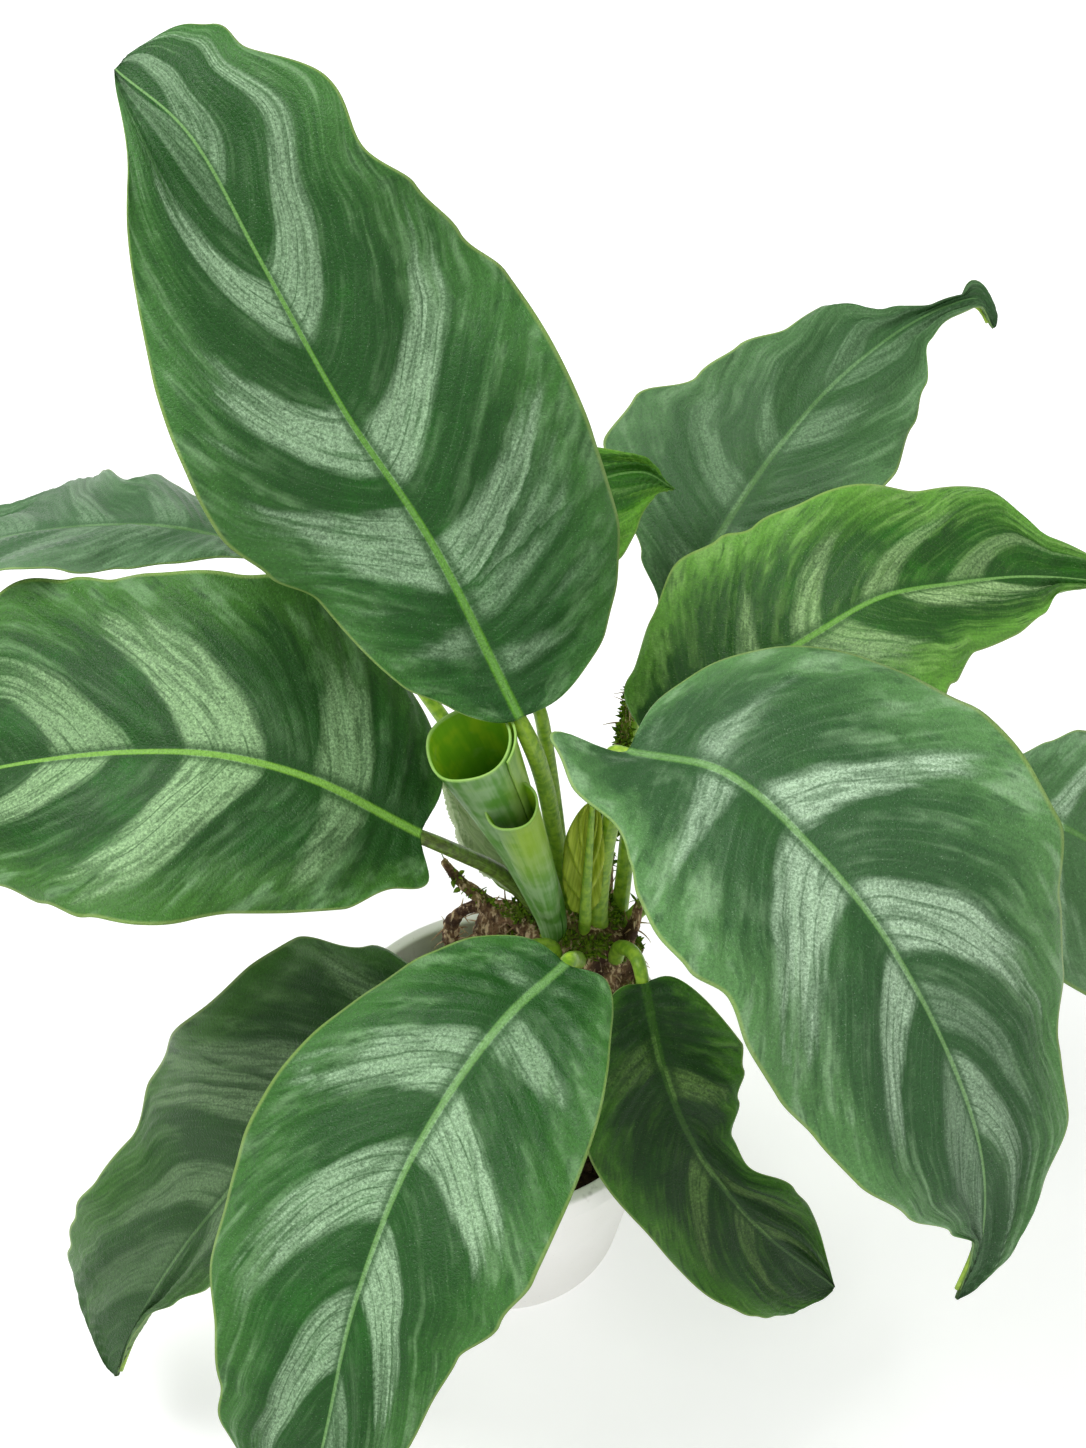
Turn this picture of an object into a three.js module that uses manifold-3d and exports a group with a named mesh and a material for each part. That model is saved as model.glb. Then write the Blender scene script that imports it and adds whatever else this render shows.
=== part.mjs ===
import * as THREE from 'three';
import { mergeVertices, toCreasedNormals } from 'three/addons/utils/BufferGeometryUtils.js';
import Module from 'manifold-3d';

// A potted calathea. Millimetres, +Z up; the origin is the centre of the pot's underside, and the
// front of the plant looks along -Y.

// Pot
const POT_HEIGHT = 74;
const POT_FOOT_RADIUS = 30;
const POT_RIM_RADIUS = 43;
const POT_WALL = 3;
const POT_FLOOR = 4;
const POT_LIP_HEIGHT = 9;
const POT_LIP_STEP = 1.6;
const POT_EDGE = 1;
const POT_SIDES = 48;
const DRAIN_RADIUS = 3.5;
const DRAIN_RING_RADIUS = 17;
const DRAIN_COUNT = 3;
const DRAIN_SIDES = 16;

// Soil
const SOIL_EDGE_HEIGHT = 64;
const SOIL_MOUND = 20;
const SOIL_MOUND_STEPS = [0.85, 0.65, 0.4, 0.2];

// Gaps between touching pieces, and the smallest details and sharpest creases that are kept
const FIT_GAP = 0.3;
const SOIL_GAP = 0.4;
const WELD_SIZE = 0.0001;
const CLEAN_SIZE = 0.02;
const CREASE_ANGLE = 40;

// Leaves
const BLADE_THICKNESS = 0.9;
const MIDRIB_RADIUS = 1.5;
const MIDRIB_TIP_RADIUS = 0.6;
const RIB_SINK = 0.7;
const STALK_SIDES = 6;
const STALK_STEPS = 2;
const STALK_MIDDLE = 0.35;
const LOBE_FADE = 0.07;
const LOBE_START = 0.012;
const CENTRE_LINE_STEPS = 128;
const LEAF_ROWS = [
  0.002, 0.02, 0.06, 0.12, 0.2, 0.29, 0.38, 0.48, 0.58, 0.68, 0.77, 0.85, 0.91, 0.955, 0.985, 0.997,
];
const LEAF_COLUMNS = [0, 0.3, 0.575, 0.8, 1];
const BRACT_ROWS = [0.004, 0.1, 0.3, 0.55, 0.8, 0.93, 0.985];
const ACROSS_STEPS = 40;

// Each leaf: spine is the midrib from the stalk's end to the tip. stalk runs from inside the rhizome
// up to the blade. left and right give half widths along the blade, looking towards the tip. roll,
// fold, cup and wave are angles in degrees. waves counts the waves along an edge. lobe is how far the
// base reaches back past the stalk on each side, and lobeLift how far it curls up there.
const LEAVES = {
  leaf_tall: {
    spine: [[5, 18, 183], [-13, 39, 215], [-31, 54, 240], [-47, 71, 265], [-61, 88, 284],
      [-77, 101, 291]],
    stalk: [[17.3, 17.3, 104], [16.8, 17.2, 114], [13, 21.5, 133], [10.2, 21.5, 156], [5, 18, 183]],
    left: [[0, 21.9], [0.06, 24.8], [0.12, 29.2], [0.28, 28.7], [0.36, 33], [0.44, 36.4], [0.76, 31.6],
      [0.95, 32.7], [1, 34.9]],
    right: [[0, 38.4], [0.06, 48.7], [0.12, 49.3], [0.28, 43.4], [0.52, 44.8], [0.6, 40.2],
      [0.68, 36.7], [0.76, 32.2], [0.84, 36.8], [0.9, 31.4], [0.95, 40.9], [1, 53.3]],
    roll: [[0, 14], [0.8, 18], [1, 10]],
    widest: [0.42, 0.42], tip: [1, 0.5], full: [2.6, 3.2],
    fold: 9, cup: -12, wave: 15, waves: 2.4, phase: [0.4, 2.6], lobe: [0, 4],
    stalkRadius: [2.3, 2, 2.1],
  },
  leaf_front_right: {
    spine: [[28, 11, 180], [48, -1, 189], [66, -18, 185], [81, -35, 176], [94, -51, 158],
      [102, -63, 138], [104, -71, 116], [100, -77, 99]],
    stalk: [[23, 15, 104], [22.6, 15.3, 115], [24, 17, 135], [26, 17, 158], [25, 15, 172],
      [28, 11, 180]],
    left: [[0, 53.6], [0.2, 55.3], [0.28, 53.5], [0.44, 46.3], [0.52, 38.7], [0.6, 35.4], [0.68, 29.3],
      [0.76, 28.7], [0.84, 22.9], [0.9, 21.9], [0.95, 30], [1, 38.2]],
    right: [[0, 31.5], [0.03, 32.3], [0.06, 39.6], [0.1, 36.8], [0.15, 40.4], [0.2, 42.8], [0.26, 43.9],
      [0.32, 43], [0.38, 38.5], [0.44, 39.8], [0.52, 38.9], [0.6, 36.9], [0.68, 36], [0.76, 31.4],
      [0.84, 19.8], [0.9, 5.4], [0.95, 3], [1, 3]],
    roll: [[0, 0], [1, -4]],
    widest: [0.42, 0.42], tip: [0.8, 1.1], full: [2.6, 2.6],
    fold: 8, cup: -12, wave: 14, waves: 2.2, phase: [2, 3.2], lobe: [5, 19], lobeLift: [0, 23],
    stalkRadius: [2.9, 2.2, 1.9],
  },
  leaf_front: {
    spine: [[15, -22, 148], [0, -39, 149], [-17, -63, 139], [-29, -87, 121], [-36, -107, 98],
      [-43, -124, 70]],
    stalk: [[18, 8, 104], [17.5, 3, 112], [16.5, -5, 124], [15.5, -14, 137], [15, -22, 148]],
    left: [[0, 34], [0.06, 35.5], [0.12, 37], [0.28, 36.2], [0.44, 37.2], [0.52, 33.1], [0.6, 26.8],
      [0.68, 25.6], [0.95, 30.3], [1, 30]],
    right: [[0, 38], [0.06, 36], [0.12, 34], [0.2, 33.2], [0.52, 36.6], [0.6, 36.6], [0.68, 33.4],
      [0.76, 35.2], [0.84, 43.7], [0.9, 45.1], [1, 38.7]],
    roll: [[0, 0], [1, 0]],
    widest: [0.42, 0.42], tip: [1.15, 1.15], full: [2.6, 2.6],
    fold: 8, cup: -11, wave: 13, waves: 2.5, phase: [1, 2.6], lobe: [8, 3],
    stalkRadius: [2.3, 2, 1.8],
  },
  leaf_left: {
    spine: [[-17, 6, 157], [-38, 7, 175], [-58, 8, 183], [-78, 9, 183], [-100, 11, 177],
      [-122, 15, 165], [-143, 21, 150]],
    stalk: [[9, 17.5, 104], [7, 17.5, 115], [0, 15, 130], [-8, 10, 144], [-17, 6, 157]],
    left: [[0, 35.2], [0.06, 29.5], [0.12, 36.4], [0.28, 35.8], [0.44, 40.5], [0.52, 38.6], [0.6, 34.7],
      [0.68, 31.8], [1, 34.3]],
    right: [[0, 46.2], [0.28, 45.4], [0.36, 40.6], [0.44, 39.9], [0.52, 41.5], [0.6, 45.6],
      [0.68, 49.1], [0.76, 45], [1, 39.5]],
    roll: [[0, 16], [1, 18]],
    widest: [0.42, 0.42], tip: [1.15, 1.15], full: [2.6, 2.6],
    fold: 8, cup: -10, wave: 13, waves: 2.5, phase: [0.5, 1.9], lobe: [12, 6],
    stalkRadius: [2.1, 1.9, 1.7],
  },
  leaf_back_left: {
    spine: [[-55, 80, 168], [-74, 81, 174], [-92, 82, 174], [-111, 83, 170], [-132, 85, 161],
      [-151, 87, 148]],
    stalk: [[10.5, 23.5, 103], [8, 28, 113], [-4, 46, 124], [-24, 68, 142], [-42, 78, 158],
      [-55, 80, 168]],
    left: [[0, 24.3], [0.12, 21.4], [0.2, 21.7], [0.28, 25.2], [0.36, 35.4], [0.44, 40.6], [0.52, 39.3],
      [0.6, 35.5], [0.68, 31.5], [0.84, 28.4], [1, 27.2]],
    right: [[0, 33.8], [0.12, 36.3], [0.2, 35.9], [0.28, 32.3], [0.36, 23.6], [0.44, 32.1],
      [0.52, 48.6], [0.6, 41.8], [0.68, 26.8], [0.76, 22.5], [0.84, 23.9], [0.9, 27.4], [1, 35.1]],
    roll: [[0, -26], [1, -30]],
    widest: [0.42, 0.42], tip: [1.15, 1.15], full: [2.6, 2.6],
    fold: 10, cup: -18, wave: 16, waves: 2.5, phase: [1, 2], lobe: [3, 3],
    stalkRadius: [2, 1.8, 1.6],
  },
  leaf_back_right: {
    spine: [[37, 72, 145], [51, 92, 157], [64, 110, 166], [79, 128, 172], [95, 143, 175],
      [109.1, 154.3, 174], [118.5, 159.3, 171.6], [122.8, 155.1, 165.8]],
    stalk: [[20, 27, 102], [20.5, 31, 110], [25, 45, 118], [32, 60, 131], [37, 72, 145]],
    left: [[0, 3], [0.06, 7.7], [0.12, 19.7], [0.2, 33.6], [0.28, 41.9], [0.36, 38.4], [0.44, 27.2],
      [0.52, 24.2], [0.6, 19.6], [0.68, 20.8], [0.76, 8.7], [0.84, 3], [0.9, 3], [0.95, 18.4],
      [1, 36.1]],
    right: [[0, 29.8], [0.44, 29.2], [0.6, 23.6], [0.68, 19.6], [0.76, 11], [0.84, 8], [0.9, 10.8],
      [0.95, 16.2], [1, 19.4]],
    roll: [[0, 0], [1, 0]],
    widest: [0.42, 0.42], tip: [0.6, 1.15], full: [2.6, 2.6],
    fold: 8, cup: -10, wave: 14, waves: 2.5, phase: [0, 1.6], lobe: [3, 3],
    stalkRadius: [2.2, 2, 1.7],
  },
  leaf_back: {
    spine: [[9, 35, 167], [5, 47, 175], [6, 62, 182], [12, 77, 183], [22, 88, 182], [33, 94, 179],
      [41, 95, 172]],
    stalk: [[15, 26, 103], [14.5, 28, 112], [13, 33, 128], [11, 35, 149], [9, 35, 167]],
    left: [[0, 26], [0.6, 22], [0.85, 10], [1, 10]],
    right: [[0, 15], [0.4, 17], [0.65, 20], [0.85, 20], [1, 22]],
    roll: [[0, 0], [1, 0]],
    widest: [0.42, 0.42], tip: [1.15, 1.15], full: [2.6, 2.6],
    fold: 8, cup: -10, wave: 14, waves: 2.5, phase: [0, 1.6], lobe: [3, 3],
    stalkRadius: [2, 1.8, 1.6],
  },
  leaf_right_back: {
    spine: [[34, 36, 152], [53, 44, 163], [68, 50, 170], [86, 59, 175], [105, 67, 171], [125, 75, 164],
      [150, 80, 155]],
    stalk: [[28, 21.5, 103], [29, 25, 114], [30, 30, 127], [32, 34, 141], [34, 36, 152]],
    left: [[0, 43.9], [0.06, 31.8], [0.12, 33.5], [0.2, 38], [0.28, 35.6], [0.36, 31.1], [0.44, 28.3],
      [0.6, 27.8], [0.76, 35], [0.84, 20], [1, 25.3]],
    right: [[0, 33.7], [0.36, 33.2], [0.44, 32.1], [0.52, 26], [0.6, 19.4], [0.68, 19], [0.76, 16.7],
      [0.84, 7.9], [0.9, 7.1], [1, 10.2]],
    roll: [[0, -10], [1, -12]],
    widest: [0.42, 0.42], tip: [1.15, 1.15], full: [2.6, 2.6],
    fold: 8, cup: -10, wave: 14, waves: 2.5, phase: [0.2, 1.8], lobe: [3, 3],
    stalkRadius: [2.1, 1.9, 1.7],
  },
  leaf_right: {
    spine: [[109, 29, 143], [121, 24, 141], [136, 20, 134], [151, 17, 119], [166, 14, 99],
      [177, 10, 80]],
    stalk: [[30.5, 17.5, 103], [33, 18, 111], [47, 19, 120], [67, 16, 127], [91, 16, 132],
      [109, 29, 143]],
    left: [[0, 21.5], [0.06, 22.7], [0.12, 26.8], [0.2, 30.7], [0.36, 34.5], [1, 29.9]],
    right: [[0, 42.2], [0.52, 40], [0.68, 37.4], [1, 34]],
    roll: [[0, 0], [1, 0]],
    widest: [0.42, 0.42], tip: [1.15, 1.15], full: [2.6, 2.6],
    fold: 8, cup: -10, wave: 10, waves: 2.2, phase: [0, 1.6], lobe: [3, 3],
    stalkRadius: [2, 1.8, 1.6],
  },
  leaf_front_left: {
    spine: [[-6, -11, 122], [-22, -16, 121], [-40, -27, 108], [-57, -38, 89], [-75, -48, 65],
      [-87, -56, 44], [-93, -62, 29]],
    stalk: [[13, 7, 103], [12, 5, 114], [7, 1, 120], [0, -5, 123], [-6, -11, 122]],
    left: [[0, 32.1], [0.44, 30.8], [0.52, 29.2], [0.6, 21.3], [0.68, 14.9], [0.76, 10.7], [0.84, 4.8],
      [0.95, 3], [1, 3]],
    right: [[0, 3], [0.06, 7.6], [0.12, 26.6], [0.2, 41.2], [0.36, 36.1], [0.52, 41], [0.6, 41.8],
      [0.68, 34.4], [0.76, 35.4], [0.84, 41], [0.9, 48.4], [0.95, 62.3], [1, 70]],
    roll: [[0, 0], [1, 0]],
    widest: [0.42, 0.42], tip: [1.1, 0.45], full: [2.6, 2.6],
    fold: 8, cup: -10, wave: 14, waves: 2.5, phase: [0, 1.6], lobe: [3, 3],
    stalkRadius: [2, 1.8, 1.6],
  },
  leaf_low: {
    spine: [[33, -6, 116], [38, -23, 103], [46, -34, 87], [61, -43, 67], [80, -46, 44]],
    stalk: [[27, 9.5, 103], [28, 7, 111], [31, 1, 117], [33, -6, 116]],
    left: [[0, 22.7], [0.2, 22.4], [0.28, 19], [0.36, 14.2], [0.44, 8.5], [0.52, 7.7], [0.68, 14.3],
      [0.76, 16.1], [0.95, 13.9], [1, 14]],
    right: [[0, 22], [0.28, 24.1], [0.52, 20.5], [0.76, 22.6], [0.84, 24.7], [0.9, 27.9], [0.95, 32.7],
      [1, 36.5]],
    roll: [[0, 0], [1, 0]],
    widest: [0.42, 0.42], tip: [1.1, 0.7], full: [2.6, 2.6],
    fold: 8, cup: -10, wave: 14, waves: 2.5, phase: [0, 1.6], lobe: [3, 3],
    stalkRadius: [2, 1.8, 1.6],
  },
};

// Small bracts round the crown, shaped by the same rules as the leaves.
const BRACTS = {
  bract_back: {
    spine: [[3, 22.5, 114], [-2, 24, 122], [-8, 26.5, 133], [-12, 30, 146]],
    stalk: [[6.5, 21, 104], [5.5, 22, 109], [3, 22.5, 114]],
    rows: BRACT_ROWS,
    left: [[0, 7], [1, 8]],
    right: [[0, 7], [1, 8]],
    roll: [[0, 0], [1, 0]],
    widest: [0.42, 0.42], tip: [0.8, 0.8], full: [2.6, 2.6],
    fold: 5, cup: 30, wave: 6, waves: 1.5, phase: [0, 1.6], lobe: [0, 0],
    stalkRadius: [1.8, 1.7, 1.5],
  },
  bract_front: {
    spine: [[19.8, 12, 117], [19.8, 11.6, 125], [20.3, 12.6, 141], [21, 15.5, 157]],
    stalk: [[19.5, 12.5, 103], [19.6, 12.4, 110], [19.8, 12, 117]],
    rows: BRACT_ROWS,
    left: [[0, 3.6], [1, 3.6]],
    right: [[0, 6], [1, 6]],
    roll: [[0, 0], [1, 0]],
    widest: [0.42, 0.42], tip: [0.8, 0.8], full: [2.6, 2.6],
    fold: 5, cup: 25, wave: 4, waves: 1.5, phase: [0, 1.6], lobe: [0, 0],
    stalkRadius: [1.7, 1.6, 1.4],
  },
};

// The new leaf, still rolled up: a tall wide roll, and a lower narrow one on its front right.
const ROLL_AXIS = [[12.5, 12.5, 104], [11.5, 13, 116], [6, 14.5, 138], [0, 14, 160], [-6, 14, 180]];
const ROLL_RADIUS = [2.6, 3.9, 5.7, 7.9, 10.2];
const ROLL_SLANT = 0.01;
const SIDE_ROLL_AXIS = [[12, 12, 116], [9, 9, 138], [3, 7, 168]];
const SIDE_ROLL_RADIUS = [2.4, 4.4, 6.2];
const SIDE_ROLL_SLANT = 0.02;
const ROLL_WALL = 0.8;
const ROLL_HOLLOW_FROM = 0.12;
const SIDE_ROLL_HOLLOW_FROM = 0.35;
const ROLL_SIDES = 18;
const ROLL_RINGS = 5;
const RIM_OVERSHOOT = 1;

// The rhizome is a few rough lumps, each given by its centre and its half sizes.
const RHIZOME_LUMPS = [
  [[18, 17, 94], [14, 13, 19]],
  [[9, 13, 88], [10, 9, 16]],
  [[25, 16, 88], [9, 10, 17]],
  [[18, 23, 89], [11, 8, 16]],
];
const LUMP_DETAIL = 2;
const LUMP_ROUGHNESS = 0.07;

// The prop roots arch from the rhizome into the soil; each has a path and a radius.
const PROP_ROOTS = [
  [[[5, 19, 107], [-6, 20, 109], [-12, 21, 99], [-11, 23, 78], [-10, 24, 66]], 1.7],
  [[[10, 15, 104], [3, 18, 109], [-2, 20, 104], [-4, 20, 90], [-4, 18, 66]], 3.2],
  [[[12, 6, 96], [6, -2, 94], [2, -6, 82], [1, -8, 66]], 1.7],
  [[[24, 8, 94], [28, 0, 90], [30, -4, 78], [29, -5, 66]], 1.6],
  [[[26, 22, 90], [27, 24, 84], [26, 24, 76], [25, 23, 64]], 1.8],
];
const ROOT_SIDES = 6;
const ROOT_STEPS = 8;
const ROOT_WOBBLE = 0.3;
const ROOT_WOBBLE_TURN = 1.7;

// Stumps of old stalks stand round the crown; each has a path, and they all thin out alike.
const STUMPS = [
  [[24.5, 26.5, 98], [25, 31, 114], [27.5, 42, 130], [30.5, 56, 147]],
  [[28, 13, 98], [31, 13, 110], [32.5, 14, 120]],
  [[4, 19, 96], [-3, 20, 110], [-9, 20.5, 118], [-13, 21, 126]],
  [[16, 6, 96], [16, 3, 106], [16.5, 1.5, 112]],
];
const STUMP_STEPS = 6;
const STUMP_FOOT_RADIUS = 2.3;
const STUMP_TIP_RADIUS = 1.1;

const wasm = await Module();
wasm.setup();

const vec = (p) => new THREE.Vector3(p[0], p[1], p[2]);
const mix = (a, b, w) => a + (b - a) * w;
const radians = THREE.MathUtils.degToRad;
const smoothCurve = (controls) => new THREE.CatmullRomCurve3(controls.map(vec), false, 'catmullrom', 0.5);

function solidFrom(points, triangles) {
  const vertProperties = new Float32Array(points.length * 3);
  points.forEach((point, i) => point.toArray(vertProperties, i * 3));
  const triVerts = Uint32Array.from(triangles.flat());
  return new wasm.Manifold(new wasm.Mesh({ numProp: 3, vertProperties, triVerts }));
}

// A solid from one of the closed standard geometries.
function solidOf(geometry) {
  geometry.deleteAttribute('normal');
  geometry.deleteAttribute('uv');
  const merged = mergeVertices(geometry, WELD_SIZE);
  const position = merged.getAttribute('position');
  const points = [];
  for (let i = 0; i < position.count; i += 1) {
    points.push(new THREE.Vector3().fromBufferAttribute(position, i));
  }
  const triangles = [];
  const index = merged.getIndex().array;
  for (let i = 0; i < index.length; i += 3) {
    const corners = [index[i], index[i + 1], index[i + 2]];
    if (new Set(corners).size === 3) triangles.push(corners);
  }
  return solidFrom(points, triangles);
}

// The mesh of a solid's main body, without the slivers that joining leaves.
function geometryFrom(solid) {
  const bodies = solid.simplify(CLEAN_SIZE).decompose();
  bodies.sort((a, b) => b.volume() - a.volume());
  const mesh = bodies[0].getMesh();
  const geometry = new THREE.BufferGeometry();
  geometry.setAttribute('position', new THREE.BufferAttribute(Float32Array.from(mesh.vertProperties), 3));
  geometry.setIndex(Array.from(mesh.triVerts));
  return toCreasedNormals(geometry, radians(CREASE_ANGLE));
}

// Straight-line reading of a list of [place, value] pairs.
function along(keys, place) {
  const next = keys.findIndex((key) => key[0] >= place);
  if (next <= 0) return next === 0 ? keys[0][1] : keys[keys.length - 1][1];
  const [from, to] = [keys[next - 1], keys[next]];
  return mix(from[1], to[1], (place - from[0]) / (to[0] - from[0]));
}

// The same, with soft steps between the pairs.
function easedAlong(keys, place) {
  const next = keys.findIndex((key) => key[0] >= place);
  if (next <= 0) return next === 0 ? keys[0][1] : keys[keys.length - 1][1];
  const [from, to] = [keys[next - 1], keys[next]];
  const w = (place - from[0]) / (to[0] - from[0]);
  return mix(from[1], to[1], w * w * (3 - 2 * w));
}

// Evenly spaced points on a smooth curve through the control points, with their directions.
function centreLine(controls) {
  const curve = smoothCurve(controls);
  curve.arcLengthDivisions = 400;
  const points = curve.getSpacedPoints(CENTRE_LINE_STEPS);
  const tangents = points.map((point, i) => {
    const before = points[Math.max(i - 1, 0)];
    const after = points[Math.min(i + 1, CENTRE_LINE_STEPS)];
    return after.clone().sub(before).normalize();
  });
  return { points, tangents };
}

// Side and face directions carried along the midrib without twist, then rolled.
function bladeFrames(leaf) {
  const line = centreLine(leaf.spine);
  let side = line.tangents[0].clone().cross(new THREE.Vector3(0, 0, 1)).normalize();
  const frames = line.points.map((point, i) => {
    const tangent = line.tangents[i];
    side = side.clone().addScaledVector(tangent, -side.dot(tangent)).normalize();
    const up = side.clone().cross(tangent);
    const roll = radians(along(leaf.roll, i / CENTRE_LINE_STEPS));
    return {
      point,
      tangent,
      side: side.clone().multiplyScalar(Math.cos(roll)).addScaledVector(up, Math.sin(roll)),
      up: up.clone().multiplyScalar(Math.cos(roll)).addScaledVector(side, -Math.sin(roll)),
    };
  });
  return (u) => {
    const place = u * CENTRE_LINE_STEPS;
    const i = Math.min(Math.floor(place), CENTRE_LINE_STEPS - 1);
    const w = place - i;
    const blend = (key) => frames[i][key].clone().lerp(frames[i + 1][key], w);
    return {
      point: blend('point'),
      tangent: blend('tangent').normalize(),
      side: blend('side').normalize(),
      up: blend('up').normalize(),
    };
  };
}

// How full the blade is at u: round at the base, drawn out to the tip.
function fullness(u, widest, tip, full) {
  if (u < widest) return Math.sqrt(1 - ((widest - u) / widest) ** 2);
  return (1 - ((u - widest) / (1 - widest)) ** full) ** tip;
}

// A row of the blade at u from the left edge over the midrib to the right edge.
function bladeRow(leaf, frame, u) {
  const edges = [0, 1].map((k) => {
    const sign = k === 0 ? -1 : 1;
    const halfWidth = easedAlong(k === 0 ? leaf.left : leaf.right, u)
      * fullness(u, leaf.widest[k], leaf.tip[k], leaf.full[k]);
    const fade = Math.exp(-u / LOBE_FADE) * (1 - Math.exp(-u / LOBE_START));
    const back = leaf.lobe[k] * fade;
    const raise = (leaf.lobeLift?.[k] ?? 0) * fade;
    const swing = Math.sin(2 * Math.PI * leaf.waves * u + leaf.phase[k]);
    const row = [];
    let across = 0;
    let lift = 0;
    for (let step = 0; step <= ACROSS_STEPS; step += 1) {
      const t = step / ACROSS_STEPS;
      if (LEAF_COLUMNS.some((column) => Math.round(column * ACROSS_STEPS) === step)) {
        row.push(frame.point.clone()
          .addScaledVector(frame.side, sign * across)
          .addScaledVector(frame.up, lift + raise * t ** 2)
          .addScaledVector(frame.tangent, -back * t ** 1.5));
      }
      const middle = t + 0.5 / ACROSS_STEPS;
      const angle = radians(leaf.fold + leaf.cup * middle + leaf.wave * middle ** 1.5 * swing);
      across += Math.cos(angle) * halfWidth / ACROSS_STEPS;
      lift += Math.sin(angle) * halfWidth / ACROSS_STEPS;
    }
    return row;
  });
  return [...edges[0].slice(1).reverse(), ...edges[1]];
}

// The blade: one grid of points, thickened evenly, with the same triangles on both faces.
function bladeSolid(leaf) {
  const frameAt = bladeFrames(leaf);
  const rows = (leaf.rows ?? LEAF_ROWS).map((u) => bladeRow(leaf, frameAt(u), u));
  const width = rows[0].length;
  const normals = rows.map((row, i) => row.map((point, j) => {
    const alongRow = rows[Math.min(i + 1, rows.length - 1)][j].clone().sub(rows[Math.max(i - 1, 0)][j]);
    const acrossRow = row[Math.min(j + 1, width - 1)].clone().sub(row[Math.max(j - 1, 0)]);
    return acrossRow.cross(alongRow).normalize();
  }));
  const points = [];
  for (const half of [0.5, -0.5]) {
    rows.forEach((row, i) => row.forEach((point, j) => {
      points.push(point.clone().addScaledVector(normals[i][j], half * BLADE_THICKNESS));
    }));
  }
  const under = rows.length * width;
  const triangles = [];
  const quad = (a, b, c, d) => triangles.push([a, b, c], [a, c, d]);
  for (let i = 0; i < rows.length - 1; i += 1) {
    for (let j = 0; j < width - 1; j += 1) {
      const corner = i * width + j;
      quad(corner, corner + 1, corner + width + 1, corner + width);
      triangles.push(
        [under + corner, under + corner + width + 1, under + corner + 1],
        [under + corner, under + corner + width, under + corner + width + 1],
      );
    }
    const left = i * width;
    const right = left + width - 1;
    quad(left, left + width, under + left + width, under + left);
    quad(right, under + right, under + right + width, right + width);
  }
  const last = (rows.length - 1) * width;
  for (let j = 0; j < width - 1; j += 1) {
    quad(j, under + j, under + j + 1, j + 1);
    quad(last + j, last + j + 1, under + last + j + 1, under + last + j);
  }
  return solidFrom(points, triangles);
}

// A closed tube along a path, with a radius at every ring.
function tubeSolid(path, radii, sides) {
  let side = new THREE.Vector3(1, 0, 0);
  return closedRings(path.map((point, i) => {
    const [before, after] = [path[Math.max(i - 1, 0)], path[Math.min(i + 1, path.length - 1)]];
    const tangent = after.clone().sub(before).normalize();
    side = side.clone().addScaledVector(tangent, -side.dot(tangent)).normalize();
    const other = tangent.clone().cross(side);
    const ring = [];
    for (let k = 0; k < sides; k += 1) {
      const turn = 2 * Math.PI * k / sides;
      ring.push(point.clone()
        .addScaledVector(side, radii[i] * Math.cos(turn))
        .addScaledVector(other, radii[i] * Math.sin(turn)));
    }
    return ring;
  }));
}

// A solid through rings of points, closed by a fan at each end.
function closedRings(rings) {
  const sides = rings[0].length;
  const points = rings.flat();
  const triangles = [];
  const start = points.push(ringCentre(rings[0])) - 1;
  const end = points.push(ringCentre(rings[rings.length - 1])) - 1;
  const lastRing = (rings.length - 1) * sides;
  for (let k = 0; k < sides; k += 1) {
    const next = (k + 1) % sides;
    for (let ring = 0; ring < lastRing; ring += sides) {
      triangles.push(
        [ring + k, ring + next, ring + sides + next],
        [ring + k, ring + sides + next, ring + sides + k],
      );
    }
    triangles.push([start, next, k], [end, lastRing + k, lastRing + next]);
  }
  return solidFrom(points, triangles);
}

function ringCentre(ring) {
  return ring.reduce((sum, point) => sum.add(point), new THREE.Vector3()).divideScalar(ring.length);
}

// The stalk from where it starts inside the rhizome up to the blade.
function stalkPath(leaf) {
  const curve = smoothCurve([...leaf.stalk, leaf.spine[1]]);
  const steps = (leaf.stalk.length - 1) * STALK_STEPS;
  const path = [];
  for (let i = 0; i < steps; i += 1) path.push(curve.getPoint(i / (steps + STALK_STEPS)));
  return path;
}

function stalkRadii(leaf, count, extra) {
  const [base, middle, top] = leaf.stalkRadius;
  const keys = [[0, base], [STALK_MIDDLE, middle], [1, top]];
  return Array.from({ length: count }, (_, i) => along(keys, i / count) + extra);
}

// Stalk and midrib in one tube; the rib sits in the blade's underside and thins out to the tip.
function ribSolid(leaf) {
  const frameAt = bladeFrames(leaf);
  const path = stalkPath(leaf);
  const radii = stalkRadii(leaf, path.length, 0);
  for (const u of (leaf.rows ?? LEAF_ROWS).slice(1, -2)) {
    const frame = frameAt(u);
    const radius = mix(MIDRIB_RADIUS, MIDRIB_TIP_RADIUS, u);
    path.push(frame.point.clone().addScaledVector(frame.up, -RIB_SINK * radius));
    radii.push(radius);
  }
  return tubeSolid(path, radii, STALK_SIDES);
}

function stalkHole(leaf) {
  const path = stalkPath(leaf);
  path[0].z -= FIT_GAP;
  return tubeSolid(path, stalkRadii(leaf, path.length, FIT_GAP), STALK_SIDES);
}

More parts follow.
